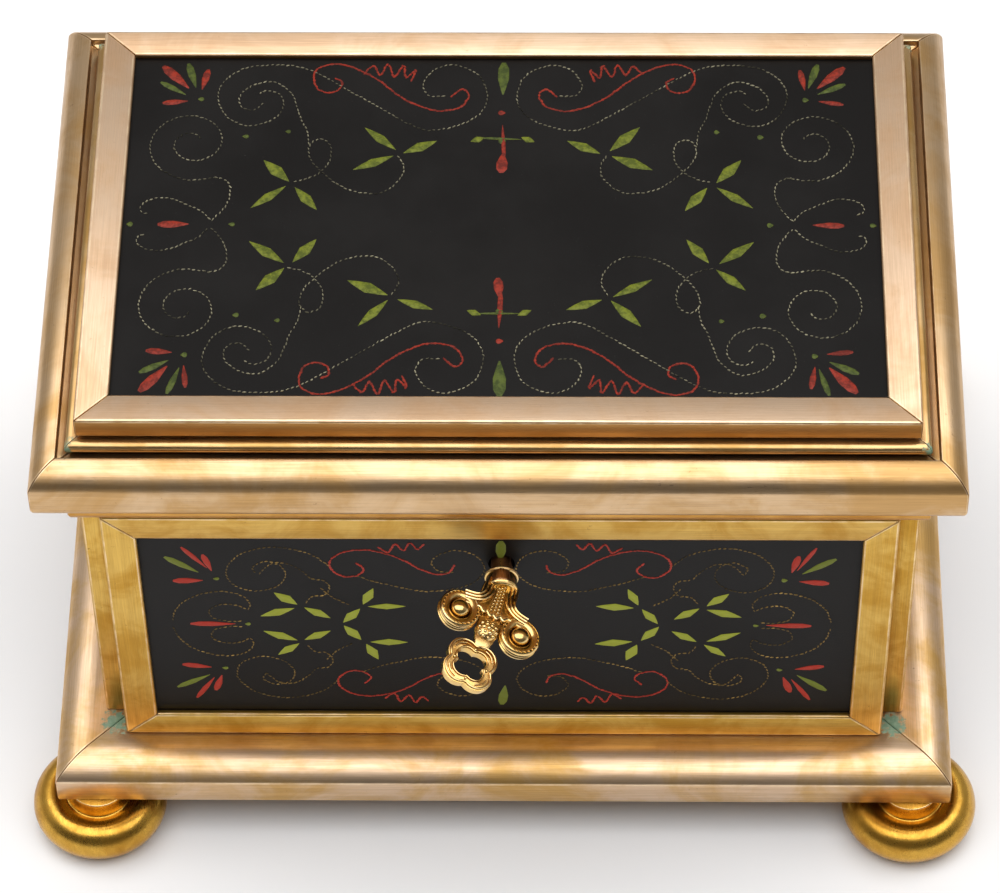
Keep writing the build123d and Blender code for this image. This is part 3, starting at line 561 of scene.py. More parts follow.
def _mottled(s: Shader, inputs: Sockets, outputs: Sockets) -> None:
    """Soft patches, as old metal tones down unevenly, and small dark spots.

    Args:
        s: The group's node tools.
        inputs: The group's inputs.
        outputs: The group's outputs.
    """
    place = s.object_place()
    patches = s.add("TexNoise", {"Vector": place, "Detail": 6.0, "Roughness": 0.62, "Distortion": 0.6})
    s.tree.links.new(inputs["Scale"], patches.inputs["Scale"])
    s.tree.links.new(s.ranged(patches.outputs["Fac"], 0.38, 0.66), outputs["Patches"])
    spots = s.noise(place, 620.0, 4.0, 0.7)
    s.tree.links.new(s.ranged(spots, 0.66, 0.76), outputs["Spots"])


def _worn(s: Shader, inputs: Sockets, outputs: Sockets) -> None:
    """Bright edges, broken up unevenly.

    Args:
        s: The group's node tools.
        inputs: The group's inputs.
        outputs: The group's outputs.
    """
    edge = s.add("Attribute", attribute_name="wear").outputs["Fac"]
    broken = s.ranged(s.noise(s.object_place(), 260.0, 4.0), 0.34, 0.62, 0.25, 1.0)
    kept = s.maths("MULTIPLY", edge, broken)
    s.tree.links.new(s.maths("MULTIPLY", kept, inputs["Strength"], True), outputs["Edge"])


def _verdigris(s: Shader, inputs: Sockets, outputs: Sockets) -> None:
    """Green growth in ragged patches round four mirrored corner places.

    Args:
        s: The group's node tools.
        inputs: The group's inputs.
        outputs: The group's outputs.
    """
    place = s.add("Mapping", {"Vector": s.object_place(), "Location": (0.0, -BODY_Y, 0.0)}).outputs[0]
    axes = s.add("SeparateXYZ", {0: place})
    dx = s.maths("SUBTRACT", s.maths("ABSOLUTE", axes.outputs[0]), inputs["X"])
    dy = s.maths("SUBTRACT", s.maths("ABSOLUTE", axes.outputs[1]), inputs["Y"])
    away = s.maths("SQRT", s.maths("ADD", s.maths("MULTIPLY", dx, dx), s.maths("MULTIPLY", dy, dy)))
    ragged = s.maths("MULTIPLY", s.maths("SUBTRACT", s.noise(place, 900.0, 4.0, 0.65), 0.5), 0.008)
    reach = s.maths("ADD", away, ragged)
    near = s.maths("SUBTRACT", 1.0, s.maths("DIVIDE", reach, inputs["Reach"]), True)
    s.tree.links.new(s.ranged(near, 0.0, 0.45), outputs["Green"])


@dataclass(frozen=True)
class Effects:
    """The node groups that several finishes share."""

    brushed: bpy.types.NodeTree
    mottled: bpy.types.NodeTree
    worn: bpy.types.NodeTree
    verdigris: bpy.types.NodeTree


def make_effects() -> Effects:
    """Builds the shared node groups.

    Returns:
        The groups.
    """
    return Effects(
        group("brushed_lines", {"Strength": 1.0}, ["Lines"], _brushed),
        group("mottled_metal", {"Scale": 60.0}, ["Patches", "Spots"], _mottled),
        group("worn_edges", {"Strength": 1.0}, ["Edge"], _worn),
        group("verdigris", {"X": 0.079, "Y": 0.048, "Reach": 0.008}, ["Green"], _verdigris),
    )


def new_material(name: str) -> tuple[bpy.types.Material, Shader, bpy.types.Node]:
    """A material with a Principled shader.

    Args:
        name: Name of the material.

    Returns:
        The material, its node tools and the Principled node.
    """
    material = bpy.data.materials.new(name)
    material.use_nodes = True
    shader = Shader(material.node_tree)
    return material, shader, material.node_tree.nodes["Principled BSDF"]


def placed_group(shader: Shader, tree: bpy.types.NodeTree, **values: float) -> bpy.types.Node:
    """Places a shared group in a material, with its own values.

    Args:
        shader: The material's node tools.
        tree: The shared group.
        values: A number for each named input.

    Returns:
        The group's node.
    """
    node = shader.tree.nodes.new("ShaderNodeGroup")
    node.node_tree = tree
    for name, value in values.items():
        node.inputs[name].default_value = value
    return node


def bumped(
    shader: Shader, principled: bpy.types.Node, height: object, distance: float, strength: float = 1.0
) -> None:
    """Feeds a height to the shader's normal.

    Args:
        shader: The material's node tools.
        principled: Its Principled node.
        height: The height's socket.
        distance: Height of 1, in metres.
        strength: Share of it that shows.
    """
    bump = shader.add("Bump", {"Height": height, "Distance": distance, "Strength": strength})
    shader.tree.links.new(bump.outputs[0], principled.inputs["Normal"])


# ---------------------------------------------------------------- finishes


@dataclass(frozen=True)
class AgedMetal:
    """Gilt bronze or brass that has toned down, brushed along its bars and worn at its edges, with painted
    shade in its hollows and, where set, a painted reflection on its upright faces.
    """

    name: str
    bright: Colour
    toned: Colour
    dark: Colour
    roughness: float = 0.30
    patch_scale: float = 55.0
    patch_share: float = 0.75
    spot_share: float = 0.5
    lines: float = 1.0
    wear: float = 0.55
    worn: Colour = (0.90, 0.72, 0.48)
    # Colour of a painted reflection of the gilt below, laid on upright faces where set
    sides: Colour | None = None
    green_reach: float = 0.0
    green_x: float = 0.0795
    green_y: float = 0.0485

    def material(self, effects: Effects) -> bpy.types.Material:
        """Builds the material.

        Args:
            effects: The shared node groups.

        Returns:
            The material.
        """
        material, s, principled = new_material(self.name)
        brushed = placed_group(s, effects.brushed, Strength=self.lines).outputs["Lines"]
        mottled = placed_group(s, effects.mottled, Scale=self.patch_scale)
        edge = placed_group(s, effects.worn, Strength=self.wear).outputs["Edge"]
        patches = s.maths("MULTIPLY", mottled.outputs["Patches"], self.patch_share)
        colour = s.mixed(patches, self.bright, self.toned)
        # Painted reflection: upright faces turn towards the sides colour, as if they mirrored the gilt
        # mouldings below
        if self.sides:
            upright = s.add("SeparateXYZ", {0: s.add("TexCoord").outputs["Normal"]}).outputs[2]
            side_reflection_share = s.ranged(upright, 0.85, 0.45)
            colour = s.mixed(s.maths("MULTIPLY", side_reflection_share, 0.85), colour, self.sides)
        colour = s.mixed(s.maths("MULTIPLY", brushed, 0.22), colour, self.dark)
        colour = s.mixed(s.maths("MULTIPLY", mottled.outputs["Spots"], self.spot_share), colour, self.dark)
        # Painted shade: where the wear attribute is below 0, in the hollows of the key's bow, the colour
        # turns dark
        painted_hollow_shade = s.add("Attribute", attribute_name="wear").outputs["Fac"]
        colour = s.mixed(s.maths("MULTIPLY", painted_hollow_shade, -2.2, True), colour, self.dark)
        colour = s.mixed(edge, colour, self.worn)
        rough = s.maths("ADD", s.maths("MULTIPLY", brushed, 0.10), self.roughness)
        rough = s.maths("ADD", rough, s.maths("MULTIPLY", patches, 0.09))
        if self.green_reach > 0:
            green = placed_group(
                s, effects.verdigris, X=self.green_x, Y=self.green_y, Reach=self.green_reach
            ).outputs["Green"]
            crust = s.mixed(s.noise(s.object_place(), 1500.0), (0.07, 0.17, 0.10), (0.33, 0.44, 0.31))
            colour = s.mixed(green, colour, crust)
            rough = s.maths("ADD", rough, s.maths("MULTIPLY", green, 0.45))
            s.tree.links.new(s.maths("SUBTRACT", 1.0, green, True), principled.inputs["Metallic"])
        else:
            principled.inputs["Metallic"].default_value = 1.0
        s.tree.links.new(colour, principled.inputs["Base Color"])
        s.tree.links.new(rough, principled.inputs["Roughness"])
        uneven = s.noise(s.object_place(), 140.0, 3.0, 0.5)
        height = s.maths("ADD", s.maths("MULTIPLY", brushed, 0.10), s.maths("MULTIPLY", uneven, 1.2))
        height = s.maths("SUBTRACT", height, s.maths("MULTIPLY", mottled.outputs["Spots"], 0.25))
        bumped(s, principled, height, 0.00006, 0.8)
        return material


@dataclass(frozen=True)
class BlackPanel:
    """Near-black enamel with a faint pebbled skin and dust specks."""

    name: str = "black_panel"
    colour: Colour = (0.0036, 0.0028, 0.0024)
    haze: Colour = (0.0072, 0.0062, 0.0056)

    def material(self, effects: Effects) -> bpy.types.Material:
        """Builds the material.

        Args:
            effects: The shared node groups, which this finish has no use for.

        Returns:
            The material.
        """
        material, s, principled = new_material(self.name)
        place = s.object_place()
        cloud = s.ranged(s.noise(place, 38.0, 5.0, 0.6), 0.35, 0.7)
        dust = s.ranged(s.noise(place, 2400.0, 2.0, 0.6), 0.70, 0.80)
        colour = s.mixed(s.maths("MULTIPLY", cloud, 0.7), self.colour, self.haze)
        colour = s.mixed(s.maths("MULTIPLY", dust, 0.16), colour, (0.12, 0.11, 0.10))
        s.tree.links.new(colour, principled.inputs["Base Color"])
        rough = s.maths("ADD", s.maths("MULTIPLY", cloud, 0.12), 0.36)
        s.tree.links.new(rough, principled.inputs["Roughness"])
        principled.inputs["Specular IOR Level"].default_value = 0.13
        pebble = s.noise(place, 2600.0, 3.0, 0.6)
        bumped(s, principled, s.maths("ADD", pebble, s.maths("MULTIPLY", dust, 0.6)), 0.00004, 0.5)
        return material


@dataclass(frozen=True)
class Paint:
    """Thick enamel paint, uneven in tone, with painted light that brightens it on upright faces."""

    name: str
    colour: Colour
    deep: Colour
    # Colour of the painted light on upright faces, brighter than the paint's own
    painted_upright_light: Colour
    roughness: float = 0.42
    scale: float = 900.0

    def material(self, effects: Effects) -> bpy.types.Material:
        """Builds the material.

        Args:
            effects: The shared node groups, which this finish has no use for.

        Returns:
            The material.
        """
        material, s, principled = new_material(self.name)
        place = s.object_place()
        tone = s.ranged(s.noise(place, self.scale, 4.0, 0.65), 0.36, 0.64)
        upright = s.add("SeparateXYZ", {0: s.add("TexCoord").outputs["Normal"]}).outputs[2]
        # Painted light: upright faces, as on the front and side panels, turn to the brighter colour
        colour = s.mixed(s.ranged(upright, 0.80, 0.40), s.mixed(tone, self.colour, self.deep), self.painted_upright_light)
        s.tree.links.new(colour, principled.inputs["Base Color"])
        rough = s.maths("ADD", s.maths("MULTIPLY", tone, 0.25), self.roughness)
        s.tree.links.new(rough, principled.inputs["Roughness"])
        principled.inputs["Specular IOR Level"].default_value = 0.22
        bumped(s, principled, s.noise(place, 2600.0), 0.00005, 0.7)
        return material


@dataclass(frozen=True)
class Wood:
    """Oiled walnut with long figure, darker lines and open pores."""

    name: str = "oiled_walnut"
    light: Colour = (0.22, 0.105, 0.045)
    dark: Colour = (0.075, 0.032, 0.014)

    def material(self, effects: Effects) -> bpy.types.Material:
        """Builds the material.

        Args:
            effects: The shared node groups, which this finish has no use for.

        Returns:
            The material.
        """
        material, s, principled = new_material(self.name)
        place = s.object_place()
        grain = s.add("Attribute", attribute_name="grain").outputs["Vector"]
        along = s.add("VectorMath", {0: place, 1: grain}, operation="DOT_PRODUCT").outputs["Value"]
        pull = s.add("VectorMath", {0: grain}, operation="SCALE")
        s.tree.links.new(s.maths("MULTIPLY", along, 0.93), pull.inputs["Scale"])
        lines = s.add("VectorMath", {0: place, 1: pull.outputs[0]}, operation="SUBTRACT").outputs[0]
        figure = s.ranged(s.noise(lines, 260.0, 5.0, 0.65), 0.34, 0.68)
        pores = s.ranged(s.noise(lines, 2600.0, 2.0, 0.6), 0.58, 0.70)
        colour = s.mixed(figure, self.light, self.dark)
        colour = s.mixed(s.maths("MULTIPLY", pores, 0.6), colour, (0.03, 0.013, 0.007))
        s.tree.links.new(colour, principled.inputs["Base Color"])
        rough = s.maths("ADD", s.maths("MULTIPLY", figure, 0.15), 0.42)
        s.tree.links.new(rough, principled.inputs["Roughness"])
        bumped(s, principled, s.maths("SUBTRACT", 1.0, pores), 0.00008, 0.6)
        return material


@dataclass(frozen=True)
class Cloth:
    """Velvet pile or satin, with brushed patches and a sheen."""

    name: str
    colour: Colour
    shade: Colour
    roughness: float
    sheen: float
    thread: float
    depth: float

    def material(self, effects: Effects) -> bpy.types.Material:
        """Builds the material.

        Args:
            effects: The shared node groups, which this finish has no use for.

        Returns:
            The material.
        """
        material, s, principled = new_material(self.name)
        place = s.object_place()
        brushed = s.ranged(s.noise(place, 90.0, 4.0, 0.6), 0.35, 0.65)
        pile = s.noise(place, self.thread, 2.0, 0.7)
        colour = s.mixed(brushed, self.colour, self.shade)
        colour = s.mixed(s.maths("MULTIPLY", pile, 0.35), colour, self.shade)
        s.tree.links.new(colour, principled.inputs["Base Color"])
        rough = s.maths("ADD", s.maths("MULTIPLY", brushed, 0.12), self.roughness)
        s.tree.links.new(rough, principled.inputs["Roughness"])
        principled.inputs["Sheen Weight"].default_value = self.sheen
        principled.inputs["Sheen Roughness"].default_value = 0.35
        principled.inputs["Sheen Tint"].default_value = (*self.colour, 1.0)
        bumped(s, principled, pile, self.depth, 0.8)
        return material


@dataclass(frozen=True)
class Glass:
    """Thin clear glass with a faint smear of dust."""

    name: str = "cover_pane"

    def material(self, effects: Effects) -> bpy.types.Material:
        """Builds the material.

        Args:
            effects: The shared node groups, which this finish has no use for.

        Returns:
            The material.
        """
        material, s, principled = new_material(self.name)
        principled.inputs["Base Color"].default_value = (0.93, 0.97, 0.95, 1.0)
        principled.inputs["IOR"].default_value = 1.5
        smear = s.ranged(s.noise(s.object_place(), 60.0, 5.0), 0.45, 0.75)
        seen = s.maths("ADD", s.maths("MULTIPLY", smear, 0.03), 0.07)
        s.tree.links.new(seen, principled.inputs["Alpha"])
        rough = s.maths("ADD", s.maths("MULTIPLY", smear, 0.05), 0.01)
        s.tree.links.new(rough, principled.inputs["Roughness"])
        return material


def dress(piece: bpy.types.Object, material: bpy.types.Material, slot: Slot) -> bpy.types.Object:
    """Gives a piece one material.

    Args:
        piece: The piece to dress.
        material: Its material.
        slot: The material slot of the record; not used.

    Returns:
        The same piece.
    """
    piece.data.materials.clear()
    piece.data.materials.append(material)
    log.info("%s: %d faces", piece.name, len(piece.data.polygons))
    return piece


def dressed_node(node: str, material: bpy.types.Material, slot: Slot, edge: float = 0.0) -> bpy.types.Object:
    """A finished copy of a CAD node, dressed.

    Args:
        node: Name of the CAD node.
        material: Its material.
        slot: The record's slot.
        edge: How far its edges are rounded, in metres.

    Returns:
        The finished piece.
    """
    return dress(finished_node(node, edge), material, slot)


# ---------------------------------------------------------------- bronze and wood


@dataclass
class BronzeWork:
    """The mouldings, frames and feet of the casket and its lid."""

    effects: Effects
    edge: float = 0.28 * MM
    fine_edge: float = 0.18 * MM
    rose: AgedMetal = AgedMetal(
        "rose_bronze", (0.70, 0.51, 0.35), (0.58, 0.37, 0.21), (0.20, 0.10, 0.045), 0.34, 45.0, 0.8, 0.45,
        # painted reflection of the gilt mouldings below, on the slab's upright faces
        sides=(0.42, 0.205, 0.035),
    )
    amber: AgedMetal = AgedMetal(
        "amber_bronze", (0.60, 0.32, 0.075), (0.44, 0.20, 0.030), (0.13, 0.055, 0.012), 0.27, 70.0, 0.9, 0.6
    )
    bead: AgedMetal = AgedMetal(
        "bead_bronze", (0.62, 0.41, 0.19), (0.44, 0.24, 0.06), (0.10, 0.045, 0.014), 0.24, 60.0, 0.8, 0.5,
        green_reach=0.0030, green_x=0.0828, green_y=0.0524,
    )
    moulding: AgedMetal = AgedMetal(
        "moulding_bronze", (0.63, 0.44, 0.26), (0.50, 0.29, 0.10), (0.14, 0.07, 0.02), 0.27, 50.0, 0.85, 0.5
    )
    gilt: AgedMetal = AgedMetal(
        "gilt_frame", (0.66, 0.42, 0.10), (0.52, 0.28, 0.035), (0.15, 0.065, 0.012), 0.30, 85.0, 0.95, 0.75
    )
    base: AgedMetal = AgedMetal(
        "base_bronze", (0.72, 0.52, 0.35), (0.60, 0.36, 0.11), (0.16, 0.075, 0.02), 0.29, 50.0, 0.95, 0.55,
        green_reach=0.0032, green_x=0.0793, green_y=0.0487,
    )
    foot: AgedMetal = AgedMetal(
        "foot_bronze", (0.66, 0.38, 0.065), (0.46, 0.22, 0.025), (0.10, 0.042, 0.008), 0.22, 75.0, 0.9, 0.75
    )

    def build(self) -> None:
        """Builds and dresses every bronze node."""
        for nodes, finish, edge in (
            (("lid_slab_frame",), self.rose, self.edge),
            (("lid_bead",), self.bead, self.fine_edge),
            (("lid_moulding",), self.moulding, self.edge),
            (("rim_moulding",), self.amber, self.fine_edge),
            (("front_frame", "rear_frame", "left_frame", "right_frame"), self.gilt, self.edge),
            (("base_moulding",), self.base, self.edge),
            (("bun_feet", "foot_studs"), self.foot, self.fine_edge),
        ):
            material = finish.material(self.effects)
            for node in nodes:
                dressed_node(node, material, Slot.BRONZE, edge)


# ---------------------------------------------------------------- painted panels


class Ink(Enum):
    """The colours of the ornament."""

    SILVER = "silver_line"
    BRASS = "brass_line"
    RED = "red_paint"
    GREEN = "green_paint"
    LEAF = "leaf_paint"


@dataclass(frozen=True)
class Line:
    """A scroll line of one panel, in millimetres from its centre, in one quarter of it."""

    ink: Ink
    points: tuple[Point2, ...]


@dataclass(frozen=True)
class Spot:
    """A leaf, drop or dot: where it starts, which way and how far it reaches, and how wide."""

    ink: Ink
    start: Point2
    end: Point2
    width: float


def spiral(centre: Point2, start: float, turns: float, outer: float, inner: float) -> tuple[Point2, ...]:
    """Points along a flat spiral that winds inward.

    Args:
        centre: Its middle.
        start: Angle of the outer end, in degrees.
        turns: How often it goes round, below 0 for clockwise.
        outer: Radius of the outer end.
        inner: Radius of the inner end.

    Returns:
        The points, from the outer end inward.
    """
    steps = max(6, round(abs(turns) * 10))
    points = []
    for i in range(steps + 1):
        share = i / steps
        angle = math.radians(start + 360 * turns * share)
        radius = outer + (inner - outer) * share**0.85
        points.append((centre[0] + radius * math.cos(angle), centre[1] + radius * math.sin(angle)))
    return tuple(points)


def trio(centre: Point2, tips: Sequence[Point2], width: float = 2.1) -> tuple[Spot, ...]:
    """Three slender leaves that spring from one point.

    Args:
        centre: Where they spring from.
        tips: Where each ends.
        width: Width of each.

    Returns:
        The leaves.
    """
    leaves = []
    for tip in tips:
        start = (centre[0] + 0.10 * (tip[0] - centre[0]), centre[1] + 0.10 * (tip[1] - centre[1]))
        leaves.append(Spot(Ink.LEAF, start, tip, width))
    return tuple(leaves)


def dot(ink: Ink, place: Point2, size: float) -> Spot:
    """A round dot.

    Args:
        ink: Its colour.
        place: Its middle.
        size: Its diameter.

    Returns:
        The dot.
    """
    return Spot(ink, (place[0] - size / 2, place[1]), (place[0] + size / 2, place[1]), size)


def spray(hub: Point2, arms: Sequence[tuple[Ink, Point2, float]]) -> tuple[Spot, ...]:
    """A fan of drops round a green hub, which widen outward from it.

    Args:
        hub: Where they spring from.
        arms: Colour, tip and width of each drop.

    Returns:
        The hub and its drops.
    """
    drops = [dot(Ink.GREEN, hub, 1.3)]
    for ink, tip, width in arms:
        near = (hub[0] + 0.30 * (tip[0] - hub[0]), hub[1] + 0.30 * (tip[1] - hub[1]))
        drops.append(Spot(ink, tip, near, width))
    return tuple(drops)


def smooth_line(points: Sequence[Point2], step: float) -> list[tuple[float, float, float]]:
    """Even steps along a smooth line through points.

    Args:
        points: Where the line passes.
        step: Distance between two steps.

    Returns:
        Place and direction (radians) of each step.
    """
    fine: list[Point2] = []
    padded = [points[0], *points, points[-1]]
    for a, b, c, d in zip(padded, padded[1:], padded[2:], padded[3:]):
        for i in range(12):
            t = i / 12
            fine.append(tuple(
                0.5 * (2 * b[k] + (c[k] - a[k]) * t + (2 * a[k] - 5 * b[k] + 4 * c[k] - d[k]) * t * t
                       + (3 * b[k] - a[k] - 3 * c[k] + d[k]) * t**3)
                for k in (0, 1)
            ))
    fine.append(points[-1])
    steps = []
    carried = step / 2
    for a, b in zip(fine, fine[1:]):
        length = math.dist(a, b)
        angle = math.atan2(b[1] - a[1], b[0] - a[0])
        while carried <= length and length > 0:
            share = carried / length
            steps.append((a[0] + (b[0] - a[0]) * share, a[1] + (b[1] - a[1]) * share, angle))
            carried += step
        carried -= length
    return steps


TOP_LINES = (
    Line(Ink.SILVER, spiral((61.0, 21.0), -121.0, 1.8, 10.4, 1.5)),
    Line(Ink.SILVER, (
        (11.2, 33.4), (14.6, 33.6), (15.8, 36.6), (13.6, 40.4), (9.7, 41.6), (4.8, 39.0), (3.0, 33.5),
        (4.3, 28.9), (8.0, 26.0), (12.0, 24.6), (15.4, 24.5), (20.2, 27.3), (29.7, 34.2), (38.0, 40.0),
        (44.0, 41.6), (51.3, 40.8), (55.6, 37.0), (56.5, 32.6), (54.3, 27.6), (50.1, 25.5), (45.5, 27.1),
        (43.5, 30.5), (44.2, 33.6), (46.8, 34.8), (48.9, 33.6),
    )),
    Line(Ink.SILVER, (
        (38.3, 20.4), (38.8, 24.0), (40.2, 27.4), (41.2, 31.0), (42.4, 34.2), (45.7, 37.0), (49.6, 36.4),
        (52.4, 33.6), (52.2, 30.6), (49.8, 29.6), (48.0, 31.2),
    )),
    Line(Ink.SILVER, (
        (41.1, 10.9), (38.6, 11.6), (36.0, 13.2), (34.0, 16.6), (34.2, 20.6), (36.4, 22.0), (38.2, 20.2),
        (37.9, 17.0), (36.0, 14.0), (33.0, 10.9), (29.8, 8.8), (26.6, 8.0), (23.8, 8.2), (21.4, 9.9),
        (19.7, 12.6), (19.5, 15.2), (20.6, 17.6),
    )),
    Line(Ink.SILVER, (
        (56.9, 1.0), (58.6, 3.2), (61.4, 4.8), (64.0, 6.2), (66.3, 6.7), (69.0, 6.2), (70.6, 4.6),
        (70.3, 3.0), (69.0, 2.6),
    )),
    Line(Ink.SILVER, ((56.7, 0.9), (55.0, 2.9), (53.6, 5.8), (53.2, 8.9), (54.2, 11.2), (56.3, 12.0))),
    Line(Ink.RED, (
        (10.6, 33.2), (8.4, 35.2), (7.0, 33.6), (8.6, 30.6), (12.8, 29.5), (17.0, 30.9), (21.0, 33.6),
        (24.6, 37.2), (28.1, 39.8), (31.2, 41.4), (34.3, 41.9), (37.3, 40.6), (38.0, 38.0), (37.0, 35.2),
        (34.8, 34.3), (32.8, 35.2), (32.4, 37.2), (34.2, 38.3),
    )),
    Line(Ink.RED, (
        (27.6, 39.4), (25.8, 41.4), (24.4, 39.0), (22.8, 41.8), (21.6, 38.6), (19.8, 41.4), (19.2, 38.4),
        (17.4, 40.2), (18.2, 37.4),
    )),
)

TOP_SPOTS = (
    *trio((41.0, 10.3), ((49.2, 4.3), (35.8, 3.6), (47.2, 16.6))),
    *trio((20.4, 18.2), ((29.6, 14.0), (12.6, 21.5), (27.3, 25.4))),
    Spot(Ink.LEAF, (6.4, 21.4), (3.6, 22.6), 1.3),
    *spray((60.2, 32.5), (
        (Ink.RED, (67.6, 31.3), 1.5), (Ink.GREEN, (68.4, 36.9), 1.6), (Ink.RED, (68.2, 41.5), 2.5),
        (Ink.GREEN, (62.8, 42.2), 1.6), (Ink.RED, (59.0, 40.6), 1.5),
    )),
    dot(Ink.GREEN, (50.7, 22.7), 1.3),
    dot(Ink.GREEN, (42.4, 24.0), 1.1),
)

TOP_AXIS_V = (
    Spot(Ink.RED, (0.0, 13.2), (0.0, 18.6), 2.6),
    Spot(Ink.RED, (0.0, 16.4), (0.0, 26.0), 1.1),
    dot(Ink.GREEN, (0.0, 21.6), 1.5),
    Spot(Ink.GREEN, (-4.2, 22.2), (4.2, 22.2), 0.6),
    dot(Ink.RED, (0.0, 29.0), 1.5),
    Spot(Ink.GREEN, (0.0, 42.6), (0.0, 33.6), 2.9),
)

TOP_AXIS_U = (
    Spot(Ink.RED, (66.8, 0.0), (60.4, 0.0), 2.0),
    dot(Ink.GREEN, (72.2, 0.0), 1.3),
    dot(Ink.GREEN, (52.6, 0.0), 1.3),
)

FRONT_LINES = (
    Line(Ink.BRASS, (
        (33.2, 19.4), (36.4, 23.2), (41.3, 25.4), (46.0, 25.5), (50.6, 23.2), (53.4, 18.6), (52.6, 13.8),
        (48.6, 11.2), (44.2, 12.5), (41.9, 16.1), (42.8, 19.6), (45.6, 21.0), (48.2, 19.2), (47.6, 16.8),
    )),
    Line(Ink.BRASS, (
        (47.6, 16.8), (44.9, 20.4), (41.6, 20.2), (39.0, 17.8), (37.3, 15.4), (35.0, 14.8), (33.9, 12.6),
        (34.9, 10.0), (37.4, 9.4), (38.8, 7.2),
    )),
    Line(Ink.BRASS, ((35.4, 12.4), (33.2, 9.2), (30.2, 6.8))),
    Line(Ink.BRASS, (
        (51.6, 1.0), (54.4, 0.9), (57.2, 2.0), (57.9, 4.7), (55.4, 6.6), (52.2, 6.2), (50.3, 5.0),
        (49.8, 7.2), (51.4, 9.7), (54.6, 11.0), (58.4, 10.4), (62.0, 8.4), (64.5, 5.0), (65.4, 1.4),
    )),
    Line(Ink.BRASS, (
        (28.2, 16.4), (24.0, 14.2), (20.4, 12.9), (16.8, 11.6), (13.3, 11.3), (8.6, 12.2), (4.8, 14.6),
        (2.9, 18.6), (4.3, 22.8), (7.6, 24.8), (11.0, 24.0), (13.2, 21.2), (12.0, 18.2), (9.2, 17.6),
    )),
    Line(Ink.RED, (
        (9.0, 20.2), (9.8, 17.8), (12.4, 17.0), (15.8, 18.8), (19.2, 21.9), (22.8, 24.0), (26.7, 25.0),
        (30.4, 24.2), (32.9, 21.9), (33.2, 18.8), (30.8, 16.2), (28.0, 16.6), (26.7, 18.6), (28.3, 20.9),
    )),
    Line(Ink.RED, (
        (23.8, 25.8), (21.9, 24.2), (20.6, 26.9), (18.9, 24.9), (17.6, 27.3), (16.2, 25.4), (14.9, 26.9),
    )),
)

FRONT_SPOTS = (
    *trio((39.8, 6.0), ((44.8, 10.8), (47.6, 2.4), (33.8, 2.1))),
    *trio((27.3, 6.0), ((24.9, 12.3), (18.6, 6.2), (31.2, 0.4))),
    *spray((55.8, 15.3), (
        (Ink.GREEN, (65.8, 22.4), 1.8), (Ink.RED, (58.2, 23.4), 1.6), (Ink.RED, (64.6, 14.2), 1.9),
        (Ink.RED, (62.2, 26.0), 1.3),
    )),
)

FRONT_AXIS_V = (Spot(Ink.GREEN, (0.0, 28.2), (0.0, 21.0), 2.6),)

SIDE_SQUEEZE = 0.545  # width of the side panels' ornament as a share of the front's
FRONT_AXIS_U = (Spot(Ink.RED, (61.8, 0.0), (52.4, 0.0), 1.7), dot(Ink.GREEN, (50.6, 0.0), 1.2))


